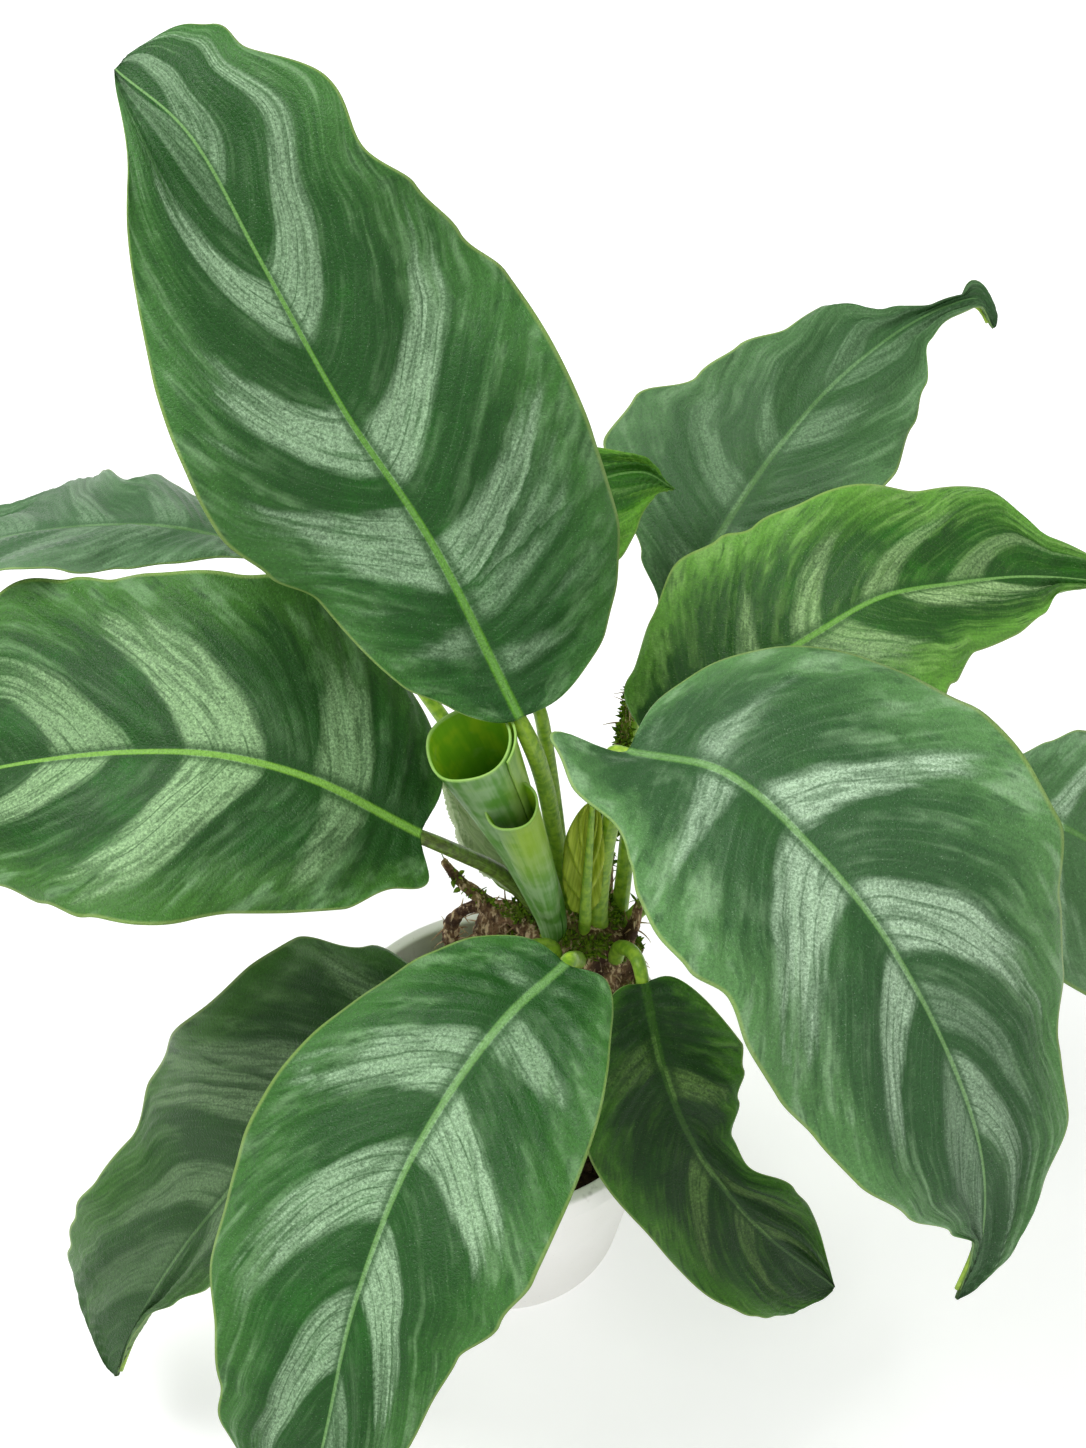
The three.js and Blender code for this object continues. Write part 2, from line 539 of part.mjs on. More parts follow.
// A solid round a bent axis, from the share `from` of its length up to a slanted rim. inset makes it
// thinner all round, and over carries it on past the rim.
function rollBody(axis, radii, slant, { inset = 0, from = 0, over = 0 } = {}) {
  const curve = smoothCurve(axis);
  const radiusKeys = radii.map((radius, i) => [i / (radii.length - 1), radius]);
  const rings = [];
  for (let i = 0; i <= ROLL_RINGS + (over > 0 ? 1 : 0); i += 1) {
    const ring = [];
    for (let k = 0; k < ROLL_SIDES; k += 1) {
      const turn = 2 * Math.PI * k / ROLL_SIDES;
      const rim = 1 - slant + slant * Math.sin(turn);
      const h = mix(from, rim, Math.min(i / ROLL_RINGS, 1));
      const tangent = curve.getTangent(h);
      const side = new THREE.Vector3(1, 0, 0).addScaledVector(tangent, -tangent.x).normalize();
      const back = tangent.clone().cross(side);
      const radius = along(radiusKeys, h) - inset;
      ring.push(curve.getPoint(h)
        .addScaledVector(side, radius * Math.cos(turn))
        .addScaledVector(back, radius * Math.sin(turn))
        .addScaledVector(tangent, i > ROLL_RINGS ? over : 0));
    }
    rings.push(ring);
  }
  return closedRings(rings);
}

// The new leaf in one solid: the low roll leans on the outside of the tall one, and both are open at
// the top.
function rolledLeaf() {
  const hollow = (from) => ({ inset: ROLL_WALL, from, over: RIM_OVERSHOOT });
  const tall = rollBody(ROLL_AXIS, ROLL_RADIUS, ROLL_SLANT);
  const tallHollow = rollBody(ROLL_AXIS, ROLL_RADIUS, ROLL_SLANT, hollow(ROLL_HOLLOW_FROM));
  const low = rollBody(SIDE_ROLL_AXIS, SIDE_ROLL_RADIUS, SIDE_ROLL_SLANT);
  const lowHollowShape = hollow(SIDE_ROLL_HOLLOW_FROM);
  const lowHollow = rollBody(SIDE_ROLL_AXIS, SIDE_ROLL_RADIUS, SIDE_ROLL_SLANT, lowHollowShape);
  return wasm.Manifold.union(tall, low)
    .subtract(wasm.Manifold.difference(lowHollow, tall))
    .subtract(tallHollow);
}

// A lump of the rhizome: a ball of few faces, stretched, placed and roughened by a formula.
function lump(centre, size, rough, grow) {
  const ball = new THREE.IcosahedronGeometry(1, LUMP_DETAIL);
  const position = ball.getAttribute('position');
  for (let i = 0; i < position.count; i += 1) {
    const point = new THREE.Vector3().fromBufferAttribute(position, i);
    const bump = 1 + rough * Math.sin(5 * point.x + centre[0]) * Math.cos(6 * point.y + 4 * point.z);
    position.setXYZ(
      i,
      centre[0] + point.x * (size[0] * bump + grow),
      centre[1] + point.y * (size[1] * bump + grow),
      centre[2] + point.z * (size[2] * bump + grow),
    );
  }
  return solidOf(ball);
}

// The rhizome with its prop roots and stumps in one solid, made larger all round by grow.
function rhizomeSolid(grow) {
  const lumps = RHIZOME_LUMPS.map(([centre, size]) => lump(centre, size, LUMP_ROUGHNESS, grow));
  const roots = PROP_ROOTS.map(([controls, radius]) => {
    const path = smoothCurve(controls).getPoints(ROOT_STEPS);
    path[ROOT_STEPS].z -= grow;
    const radii = path.map((_, i) => radius + grow + ROOT_WOBBLE * Math.sin(i * ROOT_WOBBLE_TURN));
    return tubeSolid(path, radii, ROOT_SIDES);
  });
  const stumps = STUMPS.map((controls) => {
    const path = smoothCurve(controls).getPoints(STUMP_STEPS);
    const radii = path.map((_, i) => mix(STUMP_FOOT_RADIUS, STUMP_TIP_RADIUS, i / STUMP_STEPS) + grow);
    return tubeSolid(path, radii, ROOT_SIDES);
  });
  return wasm.Manifold.union([...lumps, ...roots, ...stumps]);
}

// A closed solid of revolution; the profile of [radius, height] pairs starts and ends on the axis.
function turned(profile) {
  const outline = profile.map(([radius, z]) => new THREE.Vector2(radius, z));
  return solidOf(new THREE.LatheGeometry(outline, POT_SIDES).rotateX(Math.PI / 2));
}

// The radius of the pot's tapered side at a height, without the lip.
function sideRadius(z) {
  return mix(POT_FOOT_RADIUS, POT_RIM_RADIUS - POT_LIP_STEP, z / POT_HEIGHT);
}

function potSolid() {
  const lipFoot = POT_HEIGHT - POT_LIP_HEIGHT;
  const mouth = POT_RIM_RADIUS - POT_WALL;
  const outside = [
    [0, 0],
    [POT_FOOT_RADIUS - POT_EDGE, 0],
    [POT_FOOT_RADIUS, POT_EDGE],
    [sideRadius(lipFoot - POT_EDGE), lipFoot - POT_EDGE],
    [POT_RIM_RADIUS - POT_EDGE / 2, lipFoot],
    [POT_RIM_RADIUS, lipFoot + POT_EDGE],
    [POT_RIM_RADIUS, POT_HEIGHT - POT_EDGE],
    [POT_RIM_RADIUS - POT_EDGE, POT_HEIGHT],
  ];
  const inside = [
    [mouth, POT_HEIGHT],
    [mouth - POT_EDGE, POT_HEIGHT - POT_EDGE],
    [sideRadius(POT_FLOOR) - POT_WALL, POT_FLOOR],
    [0, POT_FLOOR],
  ];
  return drained(turned([...outside, ...inside]));
}

function drained(pot) {
  for (let i = 0; i < DRAIN_COUNT; i += 1) {
    const turn = 2 * Math.PI * i / DRAIN_COUNT;
    const hole = new THREE.CylinderGeometry(DRAIN_RADIUS, DRAIN_RADIUS, 3 * POT_FLOOR, DRAIN_SIDES);
    hole.rotateX(Math.PI / 2);
    hole.translate(DRAIN_RING_RADIUS * Math.cos(turn), DRAIN_RING_RADIUS * Math.sin(turn), 0);
    pot = pot.subtract(solidOf(hole));
  }
  return pot;
}

// Soil fills the pot and mounds up to the rhizome.
function soilSolid() {
  const floor = POT_FLOOR + FIT_GAP;
  const foot = sideRadius(floor) - POT_WALL - SOIL_GAP;
  const edge = sideRadius(SOIL_EDGE_HEIGHT) - POT_WALL - SOIL_GAP;
  const mound = [1, ...SOIL_MOUND_STEPS, 0].map((share) => (
    [edge * share, SOIL_EDGE_HEIGHT + SOIL_MOUND * (1 - share ** 2)]
  ));
  const profile = [[0, floor], [foot, floor], ...mound];
  return wasm.Manifold.difference(turned(profile), rhizomeSolid(FIT_GAP));
}

function leafSolid(leaf) {
  return wasm.Manifold.union(bladeSolid(leaf), ribSolid(leaf));
}

const MATERIALS = {
  pot: { color: 0xe9e7e1, roughness: 0.6 },
  soil: { color: 0x3a2a1e, roughness: 0.95 },
  rhizome: { color: 0x8a6f52, roughness: 0.9 },
  leaf: { color: 0x3f7a45, roughness: 0.45 },
  new_leaf: { color: 0x86b04a, roughness: 0.45 },
  bract: { color: 0x9fb45a, roughness: 0.5 },
};

function meshOf(name, solid, material) {
  const mesh = new THREE.Mesh(geometryFrom(solid), new THREE.MeshStandardMaterial(MATERIALS[material]));
  mesh.name = name;
  mesh.material.name = material;
  return mesh;
}

const lowered = ([foot, ...rest]) => [[foot[0], foot[1], foot[2] - FIT_GAP], ...rest];
const stalkHoles = wasm.Manifold.union([
  ...Object.values({ ...LEAVES, ...BRACTS }).map(stalkHole),
  rollBody(lowered(ROLL_AXIS), ROLL_RADIUS, ROLL_SLANT, { inset: -FIT_GAP }),
]);

const plant = new THREE.Group();
plant.name = 'plant';
plant.add(meshOf('rhizome', wasm.Manifold.difference(rhizomeSolid(0), stalkHoles), 'rhizome'));
for (const [name, leaf] of Object.entries(LEAVES)) plant.add(meshOf(name, leafSolid(leaf), 'leaf'));
for (const [name, bract] of Object.entries(BRACTS)) plant.add(meshOf(name, leafSolid(bract), 'bract'));
plant.add(meshOf('leaf_rolled', rolledLeaf(), 'new_leaf'));

const container = new THREE.Group();
container.name = 'container';
container.add(meshOf('pot', potSolid(), 'pot'));
container.add(meshOf('soil', soilSolid(), 'soil'));

const part = new THREE.Group();
part.name = 'potted_calathea';
part.add(container, plant);

export default part;
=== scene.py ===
import math

import bpy
import numpy as np
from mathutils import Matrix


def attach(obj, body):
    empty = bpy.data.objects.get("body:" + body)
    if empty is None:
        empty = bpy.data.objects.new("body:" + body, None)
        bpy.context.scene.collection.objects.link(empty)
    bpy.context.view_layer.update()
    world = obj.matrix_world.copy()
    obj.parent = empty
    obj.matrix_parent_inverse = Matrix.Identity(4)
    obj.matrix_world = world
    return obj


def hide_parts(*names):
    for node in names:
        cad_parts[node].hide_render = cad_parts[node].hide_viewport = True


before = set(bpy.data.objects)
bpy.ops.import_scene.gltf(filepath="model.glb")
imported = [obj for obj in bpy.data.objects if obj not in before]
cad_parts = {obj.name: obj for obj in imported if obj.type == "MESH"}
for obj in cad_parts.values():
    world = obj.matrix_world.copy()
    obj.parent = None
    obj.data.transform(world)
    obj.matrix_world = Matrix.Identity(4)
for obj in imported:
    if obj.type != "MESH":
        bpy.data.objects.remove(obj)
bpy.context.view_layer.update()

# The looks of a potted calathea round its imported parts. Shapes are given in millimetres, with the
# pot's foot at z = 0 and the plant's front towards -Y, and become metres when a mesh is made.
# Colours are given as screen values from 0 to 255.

mm = 0.001
print("frame loaded with", len(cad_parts), "nodes")


# Camera, light and floor

stage = {
    "lookAt": (10, 22, 176),        # mm, the point in the middle of the picture
    "distance": 620,
    "pitch": 38,                    # degrees up from looking straight down
    "lens": 70.9,
    "sensor": 36,
    "skyStrength": 0.55,
    "skyColour": (1, 1, 1, 1),
    "floorSize": 6000,
    "floorTones": ((238, 238, 238), (242, 242, 242)),
    "floorGrain": 900,
    "floorGlow": 0.3,               # a white table, lit a little from below
    "glowColour": (1, 1, 1, 1),
    "softboxes": [                  # place and target in mm, size in m, watts
        [(-650, 250, 1300), (0, 20, 120), 0.8, 17],
        [(500, -700, 1300), (0, 20, 120), 1.3, 7],
    ],
}


def lookRotation(fromPoint, toPoint):
    d = np.array(toPoint, float) - np.array(fromPoint, float)
    flat = math.hypot(d[0], d[1])
    return (math.atan2(flat, -d[2]), 0, math.atan2(-d[0], d[1]))


def addCamera(scene):
    pitch = math.radians(stage["pitch"])
    back = np.array([0, -math.sin(pitch), math.cos(pitch)])
    cameraData = bpy.data.cameras.new("camera")
    cameraData.lens = stage["lens"]
    cameraData.sensor_width = stage["sensor"]
    camera = bpy.data.objects.new("camera", cameraData)
    camera.location = (np.array(stage["lookAt"]) + back * stage["distance"]) * mm
    camera.rotation_euler = (pitch, 0, 0)
    scene.collection.objects.link(camera)
    scene.camera = camera
    scene.view_settings.view_transform = "Standard"


def addLights(scene):
    world = bpy.data.worlds.new("sky")
    world.use_nodes = True
    sky = world.node_tree.nodes["Background"]
    sky.inputs["Color"].default_value = stage["skyColour"]
    sky.inputs["Strength"].default_value = stage["skyStrength"]
    scene.world = world
    for i, (place, target, size, power) in enumerate(stage["softboxes"]):
        lightData = bpy.data.lights.new(f"softbox_{i}", "AREA")
        lightData.size = size
        lightData.energy = power
        light = bpy.data.objects.new(f"softbox_{i}", lightData)
        light.location = np.array(place) * mm
        light.rotation_euler = lookRotation(place, target)
        scene.collection.objects.link(light)


def addFloor(scene):
    half = stage["floorSize"] / 2 * mm
    mesh = bpy.data.meshes.new("floor")
    corners = [(-half, -half, 0), (half, -half, 0), (half, half, 0), (-half, half, 0)]
    mesh.from_pydata(corners, [], [(0, 1, 2, 3)])
    floor = bpy.data.objects.new("floor", mesh)
    scene.collection.objects.link(floor)
    paint = Paint("floor_paper")
    grain = paint.node("TexNoise", {}, {"Scale": stage["floorGrain"], "Detail": 3})
    paint.surface({"Base Color": paint.mix(grain, *stage["floorTones"]),
                   "Emission Color": stage["glowColour"], "Emission Strength": stage["floorGlow"],
                   "Roughness": 0.9, "Specular IOR Level": 0.1})
    mesh.materials.append(paint.material)


# Materials: a Wire is one value on its way through the nodes, and a Paint is one material

class Wire:
    def __init__(self, paint, socket):
        self.paint = paint
        self.socket = socket

    def __add__(self, other):
        return self.paint.maths("ADD", self, other)

    def __sub__(self, other):
        return self.paint.maths("SUBTRACT", self, other)

    def __rsub__(self, other):
        return self.paint.maths("SUBTRACT", other, self)

    def __mul__(self, other):
        return self.paint.maths("MULTIPLY", self, other)

    def __truediv__(self, other):
        return self.paint.maths("DIVIDE", self, other)

    def __pow__(self, other):
        return self.paint.maths("POWER", self, other)

    def __abs__(self):
        return self.paint.maths("ABSOLUTE", self)

    __radd__ = __add__
    __rmul__ = __mul__


class Paint:
    def __init__(self, name):
        self.material = bpy.data.materials.new(name)
        self.material.use_nodes = True
        self.tree = self.material.node_tree
        self.tree.nodes.clear()

    def node(self, kind, settings, sockets, output=0):
        made = self.tree.nodes.new("ShaderNode" + kind)
        for key, value in settings.items():
            if key == "stops":
                self.setStops(made.color_ramp, value)
            else:
                setattr(made, key, value)
        for key, value in sockets.items():
            if isinstance(value, Wire):
                self.tree.links.new(value.socket, made.inputs[key])
            else:
                made.inputs[key].default_value = value
        return Wire(self, made.outputs[output])

    def setStops(self, ramp, stops):
        while len(ramp.elements) < len(stops):
            ramp.elements.new(1)
        for element, (place, _) in zip(ramp.elements, stops):
            element.position = place
        for element, (_, colour) in zip(ramp.elements, stops):
            element.color = (*colour, 1)

    def maths(self, operation, first, second=0.0):
        return self.node("Math", {"operation": operation}, {0: first, 1: second})

    def step(self, value, low, high):           # 0 below low, 1 above high, soft between
        return self.node("MapRange", {"interpolation_type": "SMOOTHSTEP"},
                         {"Value": value, "From Min": low, "From Max": high})

    def mix(self, share, first, second):
        colours = [c if isinstance(c, Wire) else (*toLinear(c), 1) for c in (first, second)]
        return self.node("Mix", {"data_type": "RGBA"}, {0: share, 6: colours[0], 7: colours[1]}, 2)

    def vector(self, x, y, z=0.0):
        return self.node("CombineXYZ", {}, {0: x, 1: y, 2: z})

    def parts(self, vector):
        made = self.tree.nodes.new("ShaderNodeSeparateXYZ")
        self.tree.links.new(vector.socket, made.inputs[0])
        return [Wire(self, output) for output in made.outputs]

    def mark(self, name):                       # the three numbers kept at each point of a mesh
        return self.parts(self.node("Attribute", {"attribute_name": name}, {}, "Vector"))

    def place(self):                            # object coordinates in mm
        where = self.node("TexCoord", {}, {}, "Object")
        return self.node("VectorMath", {"operation": "SCALE"}, {0: where, "Scale": 1 / mm})

    def noise(self, vector, scale, detail=2.0, roughness=0.5):
        return self.node("TexNoise", {}, {"Vector": vector, "Scale": scale, "Detail": detail,
                                          "Roughness": roughness})

    def surface(self, sockets, heights=()):     # heights are (value, distance in mm) pairs
        for height, distance in heights:
            bump = {"Height": height, "Distance": distance * mm}
            if "Normal" in sockets:
                bump["Normal"] = sockets["Normal"]
            sockets = {**sockets, "Normal": self.node("Bump", {}, bump)}
        shader = self.node("BsdfPrincipled", {}, sockets)
        out = self.tree.nodes.new("ShaderNodeOutputMaterial")
        self.tree.links.new(shader.socket, out.inputs["Surface"])


def toLinear(colour):
    return [(c / 255 / 12.92) if c < 10 else ((c / 255 + 0.055) / 1.055) ** 2.4 for c in colour]


# Numbers and curves

curveSteps = 401                            # how finely a curve is measured for its length


def smooth(x, low, high):
    w = np.clip((x - low) / (high - low), 0, 1)
    return w * w * (3 - 2 * w)


def unit(a):
    return a / np.linalg.norm(a, axis=-1, keepdims=True)


def readKeys(keys, x):                      # straight lines between [place, value] pairs
    return np.interp(x, [k[0] for k in keys], [k[1] for k in keys])


def easedKeys(keys, x):                     # soft steps between the pairs
    at = np.array([k[0] for k in keys], float)
    value = np.array([k[1] for k in keys], float)
    i = np.clip(np.searchsorted(at, x) - 1, 0, len(at) - 2)
    w = np.clip((x - at[i]) / (at[i + 1] - at[i]), 0, 1)
    return value[i] + (value[i + 1] - value[i]) * w * w * (3 - 2 * w)


def smoothCurve(controls, places):          # a uniform spline, read at places from 0 to 1
    p = np.asarray(controls, float)
    last = len(p) - 1
    p = np.vstack([2 * p[0] - p[1], p, 2 * p[-1] - p[-2]])
    place = np.asarray(places, float) * last
    i = np.minimum(place.astype(int), last - 1)
    w = (place - i)[:, None]
    a, b, c, d = (p[i + k] for k in range(4))
    m, n = (c - a) / 2, (d - b) / 2
    return (2 * b - 2 * c + m + n) * w**3 + (3 * c - 3 * b - 2 * m - n) * w**2 + m * w + b


def lengths(path):                          # how far along its path each point lies
    return np.append(0, np.cumsum(np.linalg.norm(np.diff(path, axis=0), axis=1)))


def evenCurve(controls, count):             # the same curve in steps of equal length
    fine = smoothCurve(controls, np.linspace(0, 1, curveSteps))
    length = lengths(fine)
    at = np.linspace(0, length[-1], count)
    return np.stack([np.interp(at, length, fine[:, k]) for k in range(3)], -1)


def carriedFrames(path, first):             # side and up directions along a path, without twist
    tangents = unit(np.gradient(path, axis=0))
    side = np.asarray(first, float)
    sides = []
    for tangent in tangents:
        side = unit(side - (side @ tangent) * tangent)
        sides.append(side)
    sides = np.array(sides)
    return tangents, sides, np.cross(tangents, sides)


def waves(points, size, seed, parts=5):     # a soft bumpy field from -1 to 1, for any points
    rng = np.random.default_rng(seed)
    total = np.zeros(points.shape[:-1])
    for _ in range(parts):
        direction = unit(rng.normal(size=3)) * rng.uniform(0.7, 1.5) / size
        total += np.sin(2 * np.pi * (points @ direction) + rng.uniform(0, 6.28))
    return total / parts


# Meshes: a body is its points, its faces and the marks that the paints read at each point

def addPiece(name, points, faces, materials, nodes, marks=None, faceMaterials=None):
    mesh = bpy.data.meshes.new(name)
    mesh.from_pydata((points * mm).tolist(), [], faces)
    for material in materials:
        mesh.materials.append(material)
    if faceMaterials:
        mesh.polygons.foreach_set("material_index", faceMaterials)
    mesh.polygons.foreach_set("use_smooth", [True] * len(mesh.polygons))
    for mark, values in (marks or {}).items():
        made = mesh.attributes.new(mark, "FLOAT_VECTOR", "POINT")
        made.data.foreach_set("vector", np.asarray(values, np.float32).ravel())
    mesh.update()
    piece = bpy.data.objects.new(name, mesh)
    bpy.context.scene.collection.objects.link(piece)
    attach(piece, "root")
    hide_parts(*nodes)
    return piece


def gridFaces(rows, columns, start=0, closed=False, flip=False):
    i, j = np.meshgrid(np.arange(rows - 1), np.arange(columns if closed else columns - 1), indexing="ij")
    here, ahead = i * columns + j, i * columns + (j + 1) % columns
    quads = np.stack([here, ahead, ahead + columns, here + columns], -1).reshape(-1, 4) + start
    return (quads[:, ::-1] if flip else quads).tolist()


def barrelFaces(rows, columns):             # a round wall with a cap at each end
    last = (rows - 1) * columns
    caps = [list(range(columns))[::-1], list(range(last, last + columns))]
    return gridFaces(rows, columns, closed=True) + caps


def sheetFaces(rows, columns):              # the two faces of a thin sheet, one after the other, and its rim
    count = rows * columns
    last = count - columns
    faces = gridFaces(rows, columns) + gridFaces(rows, columns, start=count, flip=True)
    for a in range(0, last, columns):
        b, c, d = a + columns, a + columns - 1, a + 2 * columns - 1
        faces += [[a, b, b + count, a + count], [c, c + count, d + count, d]]
    for j in range(columns - 1):
        k = last + j
        faces += [[j, j + count, j + 1 + count, j + 1], [k, k + 1, k + 1 + count, k + count]]
    return faces


def tube(path, radii, sides):               # its marks are how far along and how far around
    _, side, up = carriedFrames(path, (1, 0, 0))
    turn = np.linspace(0, 2 * np.pi, sides, endpoint=False)
    ring = side[:, None] * np.cos(turn)[:, None] + up[:, None] * np.sin(turn)[:, None]
    points = (path[:, None] + ring * np.asarray(radii)[:, None, None]).reshape(-1, 3)
    along = np.repeat(np.linspace(0, 1, len(path)), sides)
    around = np.tile(turn / (2 * np.pi), len(path))
    return points, barrelFaces(len(path), sides), np.stack([along, around, np.zeros(len(along))], -1)


def joined(bodies):                         # many bodies as one
    faces, start = [], 0
    for points, ownFaces, _ in bodies:
        faces += [[k + start for k in face] for face in ownFaces]
        start += len(points)
    return np.concatenate([body[0] for body in bodies]), faces, np.concatenate([body[2] for body in bodies])


def evaluated(piece):                       # a new mesh of the piece with its modifiers applied
    return bpy.data.meshes.new_from_object(piece.evaluated_get(bpy.context.evaluated_depsgraph_get()))


# Leaves

# Each leaf: spine is the midrib from the stalk's end to the tip, and stalk runs from the rhizome up
# to where the spine starts. left and right are half widths along the blade, looking to the tip; roll,
# fold, cup and wave are degrees. lightLeft and lightRight are the pale bands of each half: where a
# band starts and ends at the midrib (0 at the stalk, 1 at the tip), how far out it reaches, and how
# strong it is. What a leaf doesn't name it has from commonLeaf.
commonLeaf = {
    "stalkRadius": [2, 1.8, 1.6], "roll": [[0, 0], [1, 0]],
    "widest": [0.42, 0.42], "tip": [1.15, 1.15], "full": [2.6, 2.6],
    "fold": 8, "cup": -10, "wave": 14, "waves": 2.5, "phase": [0, 1.6],
    "lobe": [3, 3], "lobeLift": [0, 0],
    "ribEnd": 0.4, "oldStalk": False,
    "dark": (26, 74, 20), "deep": (22, 92, 6), "margin": (56, 106, 42),
    "streak": (108, 146, 98), "light": (146, 178, 140),
    "rib": (80, 138, 18), "ribTip": (100, 146, 74),
}
